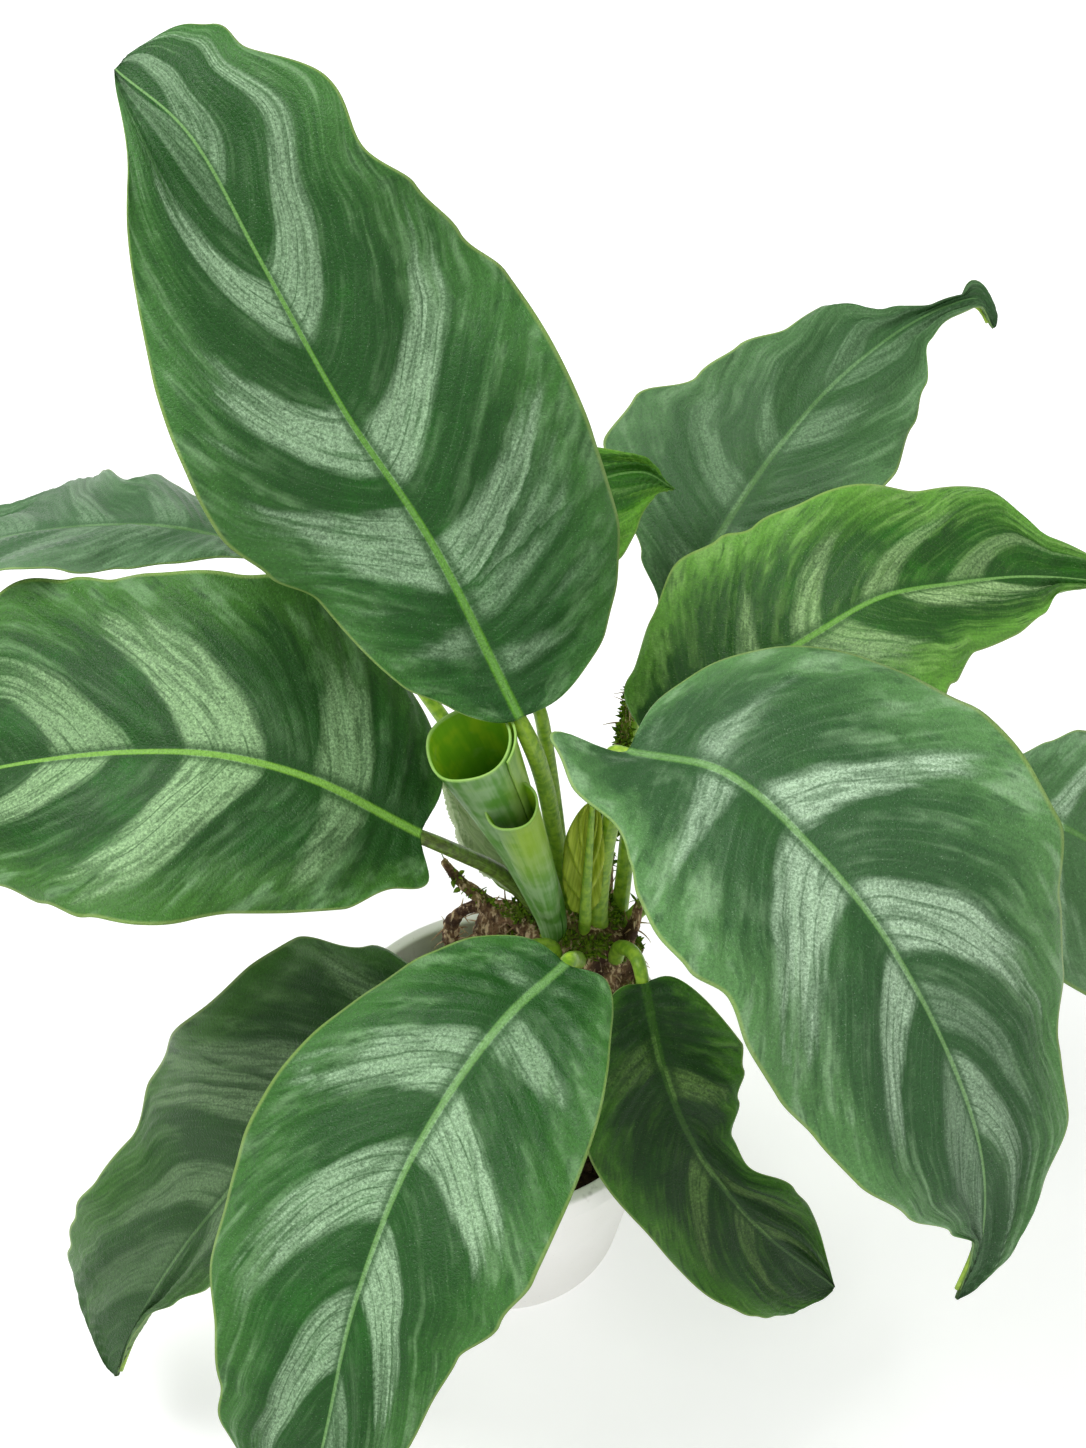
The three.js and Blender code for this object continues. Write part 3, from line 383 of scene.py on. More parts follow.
leaves = {
    "leaf_tall": {
        "spine": [[5, 18, 183], [-13, 39, 215], [-31, 54, 240], [-47, 71, 265], [-61, 88, 284],
            [-77, 101, 291]],
        "stalk": [[17.3, 17.3, 104], [16.8, 17.2, 114], [13, 21.5, 133], [10.2, 21.5, 156]],
        "left": [[0, 21.9], [0.06, 24.8], [0.12, 29.2], [0.28, 28.7], [0.36, 33], [0.44, 36.4],
            [0.76, 31.6], [0.95, 32.7], [1, 34.9]],
        "right": [[0, 38.4], [0.06, 48.7], [0.12, 49.3], [0.28, 43.4], [0.52, 44.8], [0.6, 40.2],
            [0.68, 36.7], [0.76, 32.2], [0.84, 36.8], [0.9, 31.4], [0.95, 40.9], [1, 53.3]],
        "stalkRadius": [2.3, 2, 2.1], "roll": [[0, 14], [0.8, 18], [1, 10]], "tip": [1, 0.5],
        "full": [2.6, 3.2], "fold": 9, "cup": -12, "wave": 15, "waves": 2.4, "phase": [0.4, 2.6],
        "lobe": [0, 4], "grid": [230, 40], "ribShow": 1, "ribEnd": 0.75,
        "lightLeft": [[0.1, 0.15, 0.7, 0.6], [0.2, 0.33, 0.65, 0.85], [0.38, 0.48, 0.55, 0.95],
            [0.57, 0.66, 0.5, 0.9], [0.72, 0.9, 0.6, 0.35]],
        "lightRight": [[0.06, 0.1, 0.75, 0.55], [0.14, 0.19, 0.7, 0.45], [0.19, 0.27, 0.75, 0.9],
            [0.35, 0.44, 0.72, 1], [0.57, 0.68, 0.7, 0.85], [0.79, 0.9, 0.5, 0.6]],
    },
    "leaf_front_right": {
        "spine": [[28, 11, 180], [48, -1, 189], [66, -18, 185], [81, -35, 176], [94, -51, 158],
            [102, -63, 138], [104, -71, 116], [100, -77, 99]],
        "stalk": [[23, 15, 104], [22.6, 15.3, 115], [24, 17, 135], [26, 17, 158], [25, 15, 172]],
        "left": [[0, 53.6], [0.2, 55.3], [0.28, 53.5], [0.44, 46.3], [0.52, 38.7], [0.6, 35.4],
            [0.68, 29.3], [0.76, 28.7], [0.84, 22.9], [0.9, 21.9], [0.95, 30], [1, 38.2]],
        "right": [[0, 31.5], [0.03, 32.3], [0.06, 39.6], [0.1, 36.8], [0.15, 40.4], [0.2, 42.8],
            [0.26, 43.9], [0.32, 43], [0.38, 38.5], [0.44, 39.8], [0.52, 38.9], [0.6, 36.9], [0.68, 36],
            [0.76, 31.4], [0.84, 19.8], [0.9, 5.4], [0.95, 3], [1, 3]],
        "stalkRadius": [2.9, 2.2, 1.9], "roll": [[0, 0], [1, -4]], "tip": [0.8, 1.1], "cup": -12,
        "waves": 2.2, "phase": [2, 3.2], "lobe": [5, 19], "lobeLift": [0, 23], "grid": [230, 40],
        "ribShow": 0.8, "ribEnd": 0.3,
        "lightLeft": [[0.02, 0.05, 0.6, 0.3], [0.1, 0.14, 0.6, 0.6], [0.2, 0.27, 0.7, 1],
            [0.36, 0.46, 0.6, 0.9], [0.5, 0.57, 0.5, 0.3], [0.6, 0.72, 0.35, 0.6]],
        "lightRight": [[0.02, 0.05, 0.5, 0.4], [0.12, 0.18, 0.75, 0.7], [0.26, 0.37, 0.65, 0.85],
            [0.45, 0.52, 0.55, 0.85], [0.6, 0.8, 0.3, 0.4]],
        "dark": (42, 82, 40), "deep": (40, 88, 32), "margin": (82, 128, 70), "streak": (130, 164, 122),
        "light": (166, 194, 162), "rib": (96, 146, 64),
    },
    "leaf_front": {
        "spine": [[15, -22, 148], [0, -39, 149], [-17, -63, 139], [-29, -87, 121], [-36, -107, 98],
            [-43, -124, 70]],
        "stalk": [[18, 8, 104], [17.5, 3, 112], [16.5, -5, 124], [15.5, -14, 137]],
        "left": [[0, 34], [0.06, 35.5], [0.12, 37], [0.28, 36.2], [0.44, 37.2], [0.52, 33.1], [0.6, 26.8],
            [0.68, 25.6], [0.95, 30.3], [1, 30]],
        "right": [[0, 38], [0.06, 36], [0.12, 34], [0.2, 33.2], [0.52, 36.6], [0.6, 36.6], [0.68, 33.4],
            [0.76, 35.2], [0.84, 43.7], [0.9, 45.1], [1, 38.7]],
        "stalkRadius": [2.3, 2, 1.8], "cup": -11, "wave": 13, "phase": [1, 2.6], "lobe": [8, 3],
        "grid": [210, 38], "ribShow": 0.8,
        "lightLeft": [[0.04, 0.07, 0.6, 0.35], [0.11, 0.18, 0.65, 0.7], [0.25, 0.36, 0.65, 1],
            [0.46, 0.57, 0.55, 1], [0.68, 0.8, 0.4, 0.5]],
        "lightRight": [[0.05, 0.09, 0.7, 0.5], [0.16, 0.27, 0.72, 0.9], [0.34, 0.46, 0.65, 1],
            [0.56, 0.68, 0.55, 0.85]],
        "rib": (100, 150, 70),
    },
    "leaf_left": {
        "spine": [[-17, 6, 157], [-38, 7, 175], [-58, 8, 183], [-78, 9, 183], [-100, 11, 177],
            [-122, 15, 165], [-143, 21, 150]],
        "stalk": [[9, 17.5, 104], [7, 17.5, 115], [0, 15, 130], [-8, 10, 144]],
        "left": [[0, 35.2], [0.06, 29.5], [0.12, 36.4], [0.28, 35.8], [0.44, 40.5], [0.52, 38.6],
            [0.6, 34.7], [0.68, 31.8], [1, 34.3]],
        "right": [[0, 46.2], [0.28, 45.4], [0.36, 40.6], [0.44, 39.9], [0.52, 41.5], [0.6, 45.6],
            [0.68, 49.1], [0.76, 45], [1, 39.5]],
        "stalkRadius": [2.1, 1.9, 1.7], "roll": [[0, 16], [1, 18]], "wave": 13, "phase": [0.5, 1.9],
        "lobe": [12, 6], "grid": [210, 38], "ribShow": 1, "ribEnd": 0.8, "oldStalk": True,
        "lightLeft": [[0.1, 0.18, 0.75, 0.6], [0.28, 0.4, 0.75, 1], [0.51, 0.62, 0.6, 0.9],
            [0.72, 0.84, 0.5, 0.7]],
        "lightRight": [[0.11, 0.2, 0.6, 0.6], [0.28, 0.4, 0.65, 0.9], [0.48, 0.6, 0.5, 0.7],
            [0.7, 0.82, 0.5, 0.6]],
        "dark": (24, 68, 16), "margin": (58, 106, 36), "light": (142, 178, 126), "rib": (108, 160, 44),
        "ribTip": (116, 162, 74),
    },
    "leaf_back_left": {
        "spine": [[-55, 80, 168], [-74, 81, 174], [-92, 82, 174], [-111, 83, 170], [-132, 85, 161],
            [-151, 87, 148]],
        "stalk": [[10.5, 23.5, 103], [8, 28, 113], [-4, 46, 124], [-24, 68, 142], [-42, 78, 158]],
        "left": [[0, 24.3], [0.12, 21.4], [0.2, 21.7], [0.28, 25.2], [0.36, 35.4], [0.44, 40.6],
            [0.52, 39.3], [0.6, 35.5], [0.68, 31.5], [0.84, 28.4], [1, 27.2]],
        "right": [[0, 33.8], [0.12, 36.3], [0.2, 35.9], [0.28, 32.3], [0.36, 23.6], [0.44, 32.1],
            [0.52, 48.6], [0.6, 41.8], [0.68, 26.8], [0.76, 22.5], [0.84, 23.9], [0.9, 27.4], [1, 35.1]],
        "roll": [[0, -26], [1, -30]], "fold": 10, "cup": -18, "wave": 16, "phase": [1, 2],
        "grid": [170, 28], "ribShow": 0.4,
        "lightLeft": [[0.2, 0.3, 0.6, 0.5], [0.35, 0.42, 0.6, 0.6], [0.5, 0.6, 0.5, 0.5],
            [0.7, 0.82, 0.5, 0.4]],
        "lightRight": [[0.17, 0.25, 0.6, 0.5], [0.33, 0.42, 0.6, 0.6], [0.52, 0.62, 0.5, 0.5],
            [0.72, 0.84, 0.4, 0.4]],
        "dark": (58, 96, 56), "deep": (52, 96, 46), "margin": (86, 122, 82), "streak": (112, 146, 108),
        "light": (130, 160, 126),
    },
    "leaf_back_right": {
        "spine": [[37, 72, 145], [51, 92, 157], [64, 110, 166], [79, 128, 172], [95, 143, 175],
            [109.1, 154.3, 174], [118.5, 159.3, 171.6], [122.8, 155.1, 165.8]],
        "stalk": [[20, 27, 102], [20.5, 31, 110], [25, 45, 118], [32, 60, 131]],
        "left": [[0, 3], [0.06, 7.7], [0.12, 19.7], [0.2, 33.6], [0.28, 41.9], [0.36, 38.4], [0.44, 27.2],
            [0.52, 24.2], [0.6, 19.6], [0.68, 20.8], [0.76, 8.7], [0.84, 3], [0.9, 3], [0.95, 18.4],
            [1, 36.1]],
        "right": [[0, 29.8], [0.44, 29.2], [0.6, 23.6], [0.68, 19.6], [0.76, 11], [0.84, 8], [0.9, 10.8],
            [0.95, 16.2], [1, 19.4]],
        "stalkRadius": [2.2, 2, 1.7], "tip": [0.6, 1.15], "grid": [190, 30], "ribShow": 0.35,
        "lightLeft": [[0.1, 0.17, 0.4, 0.5], [0.26, 0.33, 0.75, 0.5], [0.38, 0.43, 0.4, 0.5],
            [0.55, 0.65, 0.4, 0.4]],
        "lightRight": [[0.15, 0.24, 0.6, 0.4], [0.4, 0.5, 0.4, 0.5], [0.55, 0.7, 0.5, 0.4]],
        "dark": (46, 84, 42), "deep": (44, 86, 34), "margin": (72, 112, 64), "streak": (100, 134, 92),
        "light": (122, 154, 116), "rib": (96, 142, 60),
    },
    "leaf_back": {
        "spine": [[9, 35, 167], [5, 47, 175], [6, 62, 182], [12, 77, 183], [22, 88, 182], [33, 94, 179],
            [41, 95, 172]],
        "stalk": [[15, 26, 103], [14.5, 28, 112], [13, 33, 128], [11, 35, 149]],
        "left": [[0, 26], [0.6, 22], [0.85, 10], [1, 10]],
        "right": [[0, 15], [0.4, 17], [0.65, 20], [0.85, 20], [1, 22]],
        "grid": [150, 24], "ribShow": 0.6,
        "lightLeft": [[0.15, 0.25, 0.6, 0.4], [0.4, 0.5, 0.5, 0.4], [0.6, 0.7, 0.4, 0.4]],
        "lightRight": [[0.15, 0.25, 0.6, 0.4], [0.4, 0.5, 0.5, 0.4], [0.6, 0.7, 0.4, 0.4]],
        "dark": (38, 92, 12), "deep": (34, 96, 6), "margin": (92, 150, 38), "streak": (110, 158, 62),
        "light": (122, 162, 86),
    },
    "leaf_right_back": {
        "spine": [[34, 36, 152], [53, 44, 163], [68, 50, 170], [86, 59, 175], [105, 67, 171],
            [125, 75, 164], [150, 80, 155]],
        "stalk": [[28, 21.5, 103], [29, 25, 114], [30, 30, 127], [32, 34, 141]],
        "left": [[0, 43.9], [0.06, 31.8], [0.12, 33.5], [0.2, 38], [0.28, 35.6], [0.36, 31.1],
            [0.44, 28.3], [0.6, 27.8], [0.76, 35], [0.84, 20], [1, 25.3]],
        "right": [[0, 33.7], [0.36, 33.2], [0.44, 32.1], [0.52, 26], [0.6, 19.4], [0.68, 19],
            [0.76, 16.7], [0.84, 7.9], [0.9, 7.1], [1, 10.2]],
        "stalkRadius": [2.1, 1.9, 1.7], "roll": [[0, -10], [1, -12]], "phase": [0.2, 1.8],
        "grid": [190, 32], "ribShow": 1, "ribEnd": 0.6,
        "lightLeft": [[0.2, 0.24, 0.6, 0.6], [0.3, 0.36, 0.6, 0.6], [0.43, 0.5, 0.6, 0.5],
            [0.6, 0.68, 0.5, 0.4]],
        "lightRight": [[0.12, 0.2, 0.5, 0.4], [0.3, 0.4, 0.5, 0.5], [0.5, 0.7, 0.3, 0.8],
            [0.78, 0.88, 0.3, 0.4]],
        # leaf_right_back's tones are lighter and yellower as painted light shining through it from behind
        "dark": (30, 76, 16), "deep": (36, 104, 8), "margin": (92, 146, 50), "streak": (128, 172, 88),
        "light": (160, 194, 132),
    },
    "leaf_right": {
        "spine": [[109, 29, 143], [121, 24, 141], [136, 20, 134], [151, 17, 119], [166, 14, 99],
            [177, 10, 80]],
        "stalk": [[30.5, 17.5, 103], [33, 18, 111], [47, 19, 120], [67, 16, 127], [91, 16, 132]],
        "left": [[0, 21.5], [0.06, 22.7], [0.12, 26.8], [0.2, 30.7], [0.36, 34.5], [1, 29.9]],
        "right": [[0, 42.2], [0.52, 40], [0.68, 37.4], [1, 34]],
        "wave": 10, "waves": 2.2, "grid": [180, 34], "ribShow": 0.5,
        "lightLeft": [[0.06, 0.1, 0.8, 0.7], [0.16, 0.22, 0.8, 0.8], [0.3, 0.37, 0.75, 0.8],
            [0.46, 0.54, 0.6, 0.7], [0.66, 0.76, 0.5, 0.5]],
        "lightRight": [[0.06, 0.1, 0.8, 0.7], [0.16, 0.22, 0.8, 0.8], [0.3, 0.37, 0.75, 0.8],
            [0.46, 0.54, 0.6, 0.7], [0.66, 0.76, 0.5, 0.5]],
        "dark": (66, 106, 60), "deep": (60, 104, 52), "margin": (100, 140, 94), "streak": (128, 160, 122),
        "light": (160, 188, 156),
    },
    "leaf_front_left": {
        "spine": [[-6, -11, 122], [-22, -16, 121], [-40, -27, 108], [-57, -38, 89], [-75, -48, 65],
            [-87, -56, 44], [-93, -62, 29]],
        "stalk": [[13, 7, 103], [12, 5, 114], [7, 1, 120], [0, -5, 123]],
        "left": [[0, 32.1], [0.44, 30.8], [0.52, 29.2], [0.6, 21.3], [0.68, 14.9], [0.76, 10.7],
            [0.84, 4.8], [0.95, 3], [1, 3]],
        "right": [[0, 3], [0.06, 7.6], [0.12, 26.6], [0.2, 41.2], [0.36, 36.1], [0.52, 41], [0.6, 41.8],
            [0.68, 34.4], [0.76, 35.4], [0.84, 41], [0.9, 48.4], [0.95, 62.3], [1, 70]],
        "tip": [1.1, 0.45], "grid": [190, 34], "ribShow": 0.3,
        "lightLeft": [[0.1, 0.17, 0.8, 0.5], [0.28, 0.38, 0.7, 0.6], [0.5, 0.6, 0.6, 0.45],
            [0.68, 0.8, 0.5, 0.25]],
        "lightRight": [[0.1, 0.17, 0.85, 0.7], [0.25, 0.33, 0.8, 0.6], [0.33, 0.42, 0.8, 0.7],
            [0.5, 0.6, 0.6, 0.45], [0.65, 0.8, 0.5, 0.25]],
        "dark": (30, 70, 20), "deep": (28, 78, 10), "margin": (60, 104, 40), "streak": (98, 134, 82),
        "light": (124, 154, 110),
    },
    "leaf_low": {
        "spine": [[33, -6, 116], [38, -23, 103], [46, -34, 87], [61, -43, 67], [80, -46, 44]],
        "stalk": [[27, 9.5, 103], [28, 7, 111], [31, 1, 117]],
        "left": [[0, 22.7], [0.2, 22.4], [0.28, 19], [0.36, 14.2], [0.44, 8.5], [0.52, 7.7], [0.68, 14.3],
            [0.76, 16.1], [0.95, 13.9], [1, 14]],
        "right": [[0, 22], [0.28, 24.1], [0.52, 20.5], [0.76, 22.6], [0.84, 24.7], [0.9, 27.9],
            [0.95, 32.7], [1, 36.5]],
        "tip": [1.1, 0.7], "grid": [160, 28], "ribShow": 0.2,
        "lightLeft": [[0.2, 0.28, 0.6, 0.6], [0.46, 0.55, 0.6, 0.45], [0.66, 0.74, 0.5, 0.4]],
        "lightRight": [[0.12, 0.2, 0.6, 0.4], [0.42, 0.5, 0.6, 0.5], [0.6, 0.68, 0.5, 0.4]],
        # leaf_low's tones are darker than the other leaves' as painted shade, for it hangs low under them
        "dark": (16, 54, 4), "deep": (18, 70, 2), "margin": (54, 104, 16), "streak": (80, 124, 40),
        "light": (112, 146, 76),
    },
}

leafLook = {
    "ribWidth": (1.2, 0.28),       # half width of the midrib in mm: what tapers away, and what stays
    "ribTaper": 1.6,
    "ribRadius": (1.5, 0.6),        # mm under the blade, at the stalk and at the tip
    "ribSink": 0.7,
    "ribEnds": (0.02, 0.985),
    "tubeSides": 14,
    "lobeFade": (0.07, 0.012),      # how soon the lobes beside the stalk end and begin
    "veins": 38,                    # side veins from base to tip
    "veinSweep": 0.88,              # how far the veins run towards the tip
    "veinBend": 1.46,
    "bandBreaks": 0.55,             # how strongly dark streaks break up the pale bands
    "bandTaper": 0.07,              # how much a pale band narrows towards the edge
    "bandSoftness": 0.007,
    "bandWander": 0.016,
    "pleatHeight": 0.22,            # mm
    "puffHeight": 0.9,
    "puffs": 5.2,                   # swellings from base to tip, shifted by seed and half
    "puffShift": (0.37, 0.4),
    "ridgeHeight": 0.3,
    "ridgeWidth": 0.75,
    "groove": (-0.6, 2.6),          # mm deep and wide, beside the midrib
    "ripple": (0.6, 16),            # mm high and long, at the edges
    "halfThickness": 0.3,
    "edgeThinning": 0.55,
    "cloudScales": (0.05, 0.12),    # of noise over the whole blade
    "streakScales": (1.0, 2.6),     # of noise drawn out along the veins
    "streakStretch": 2.4,
    "fineScale": 2.2,
    "fineStretch": 3.2,
    "velvetScales": (1.7, 3.1),     # of the grain and of its specks, per mm
    "velvetDepth": 0.75,
    "velvetBump": 0.3,
    "ribShadeLine": (1.3, 3.4),          # the line of painted shade beside the midrib, in half widths of it
    "stalkFibres": (0.12, 26.0),
    # the fresh stalks' own yellow-green, made brighter as painted light shining through them
    "freshStalkAndGlow": ((156, 190, 52), (104, 148, 26)),
    "oldStalk": ((104, 134, 40), (62, 74, 22)),
    "edgeColour": (146, 174, 92),
    # the underside's own pale green, made lighter still as painted light on undersides that lie in shade
    "underColourAndLight": (142, 178, 108),
}


def veinPlace(u, v):                        # where the vein through (u, v) leaves the midrib
    return u / (1 + leafLook["veinSweep"] * np.abs(v) ** leafLook["veinBend"])


def ribHalf(u):                             # works on numbers and on wires
    return leafLook["ribWidth"][0] * (1 - u) ** leafLook["ribTaper"] + leafLook["ribWidth"][1]


def bladeFrames(leaf, u, steps=129):
    points = evenCurve(leaf["spine"], steps)
    place = np.linspace(0, 1, steps)
    tangents, sides, _ = carriedFrames(points, np.cross(unit(points[1] - points[0]), [0, 0, 1]))
    ups = np.cross(sides, tangents)
    roll = np.radians(readKeys(leaf["roll"], place))[:, None]
    rolled = sides * np.cos(roll) + ups * np.sin(roll)
    lifted = ups * np.cos(roll) - sides * np.sin(roll)

    def at(values):
        return np.stack([np.interp(u, place, values[:, k]) for k in range(3)], -1)

    return at(points), unit(at(tangents)), unit(at(rolled)), unit(at(lifted))


def fullness(u, widest, tip, full):         # round at the base, drawn out to the tip
    base = np.sqrt(np.clip(1 - ((widest - u) / widest) ** 2, 0, 1))
    top = (1 - np.clip((u - widest) / (1 - widest), 0, 1) ** full) ** tip
    return np.where(u < widest, base, top)


def bladeSurface(leaf, u, out, steps=40):   # the blade's middle surface, and each point's v and mm across
    point, tangent, side, up = bladeFrames(leaf, u)
    ends, starts = leafLook["lobeFade"]
    fade = np.exp(-u / ends) * (1 - np.exp(-u / starts))
    t = (np.arange(steps) + 0.5) / steps
    edge = np.arange(steps + 1) / steps
    halves, widths = [], []
    for k, (key, sign) in enumerate((("left", -1), ("right", 1))):
        full = fullness(u, leaf["widest"][k], leaf["tip"][k], leaf["full"][k])
        width = easedKeys(leaf[key], u) * full
        swing = np.sin(2 * np.pi * leaf["waves"] * u + leaf["phase"][k])
        angle = np.radians(leaf["fold"] + leaf["cup"] * t + leaf["wave"] * t**1.5 * swing[:, None])
        walk = []
        for part in (np.cos(angle), np.sin(angle)):
            summed = np.hstack([np.zeros((len(u), 1)), np.cumsum(part, axis=1)]) * width[:, None] / steps
            walk.append(np.stack([np.interp(out, edge, row) for row in summed]))
        across, lift = walk
        raised = leaf["lobeLift"][k] * fade[:, None] * out**2
        back = leaf["lobe"][k] * fade[:, None] * out**1.5
        halves.append(point[:, None] + side[:, None] * (sign * across)[..., None]
                      + up[:, None] * (lift + raised)[..., None] - tangent[:, None] * back[..., None])
        widths.append(width[:, None] * out)
    points = np.concatenate([halves[0][:, :0:-1], halves[1]], axis=1)
    across = np.concatenate([-widths[0][:, :0:-1], widths[1]], axis=1)
    return points, np.broadcast_to(np.concatenate([-out[:0:-1], out]), across.shape), across


def reliefOf(leaf, u, v, across):           # how far the upper face stands off the middle surface, in mm
    look = leafLook
    q = veinPlace(u, v)
    off = smooth(np.abs(v), 0.04, 0.25) * (1 - smooth(np.abs(v), 0.9, 1))
    pleats = look["pleatHeight"] * np.sin(2 * np.pi * look["veins"] * q) * off
    seedShift, halfShift = look["puffShift"]
    turn = 2 * np.pi * (look["puffs"] * q + leaf["seed"] * seedShift + halfShift * (v > 0))
    puff = look["puffHeight"] * np.sin(turn) * off * smooth(u, 0, 0.1) * (1 - smooth(u, 0.85, 1))
    rib = ribHalf(u)
    ridge = look["ridgeHeight"] * rib * np.exp(-(across / (look["ridgeWidth"] * rib)) ** 2)
    depth, width = look["groove"]
    return pleats + puff + ridge + depth * np.exp(-(across / width) ** 2) * smooth(u, 0.0, 0.1)


def buildBlade(leaf):
    look = leafLook
    rows, columns = leaf["grid"]
    s = np.linspace(0, 1, rows)
    u = 0.0015 + 0.997 * (0.75 * s + 0.25 * (1 - np.cos(np.pi * s)) / 2)      # closer at both ends
    out = np.linspace(0, 1, columns + 1) ** 1.25                              # closer at the midrib
    points, v, across = bladeSurface(leaf, u, out)
    u = np.broadcast_to(u[:, None], across.shape)
    normals = unit(np.cross(np.gradient(points, axis=1), np.gradient(points, axis=0)))
    height, size = look["ripple"]
    ripple = height * waves(points, size, leaf["seed"] + 5) * smooth(np.abs(v), 0.55, 1)
    middle = points + normals * (ripple + reliefOf(leaf, u, v, across))[..., None]
    half = look["halfThickness"] * (1 - look["edgeThinning"] * smooth(np.abs(v), 0.85, 1))
    faces = [middle + normals * half[..., None], middle - normals * half[..., None]]
    along = u * lengths(evenCurve(leaf["spine"], 60))[-1]
    q = veinPlace(u, v)
    marks = [np.stack([q, v, np.full_like(u, under), along, across, u], -1) for under in (0, 1)]
    return (np.concatenate(faces).reshape(-1, 3), sheetFaces(*across.shape),
            np.concatenate(marks).reshape(-1, 6))


def buildStalk(leaf, steps=8):              # the stalk, which runs on as the midrib under the blade
    look = leafLook
    count = (len(leaf["stalk"]) + 1) * steps
    places = np.linspace(0, 1, count + 1)[:count - steps]
    curve = smoothCurve([*leaf["stalk"], *leaf["spine"][:2]], places)
    base, mid, top = leaf["stalkRadius"]
    radii = readKeys([[0, base], [0.35, mid], [1, top]], np.linspace(0, 1, len(curve)))
    u = np.linspace(*look["ribEnds"], 60)
    point, _, _, up = bladeFrames(leaf, u)
    thick, thin = look["ribRadius"]
    ribRadius = thick + (thin - thick) * u
    path = np.vstack([curve, point - up * (ribRadius + look["ribSink"])[:, None]])
    radii = np.append(radii, ribRadius)
    for _ in range(3):                          # ease the join
        path[1:-1] = (path[:-2] + 2 * path[1:-1] + path[2:]) / 4
        radii[1:-1] = (radii[:-2] + 2 * radii[1:-1] + radii[2:]) / 4
    points, faces, marks = tube(path, radii, look["tubeSides"])
    marks[:, 2] = np.repeat(lengths(path), look["tubeSides"])
    return points, faces, np.hstack([marks, np.zeros_like(marks)])


def bandStops(bands):                       # red is a band's strength, green how far out it reaches
    soft = leafLook["bandSoftness"]
    stops = [(0, (0, bands[0][2], 0))]
    for start, end, reach, strength in bands:
        pale, plain = (strength, reach, 0), (0, reach, 0)
        stops += [(start - soft, plain), (start + soft, pale), (end - soft, pale), (end + soft, plain)]
    return stops


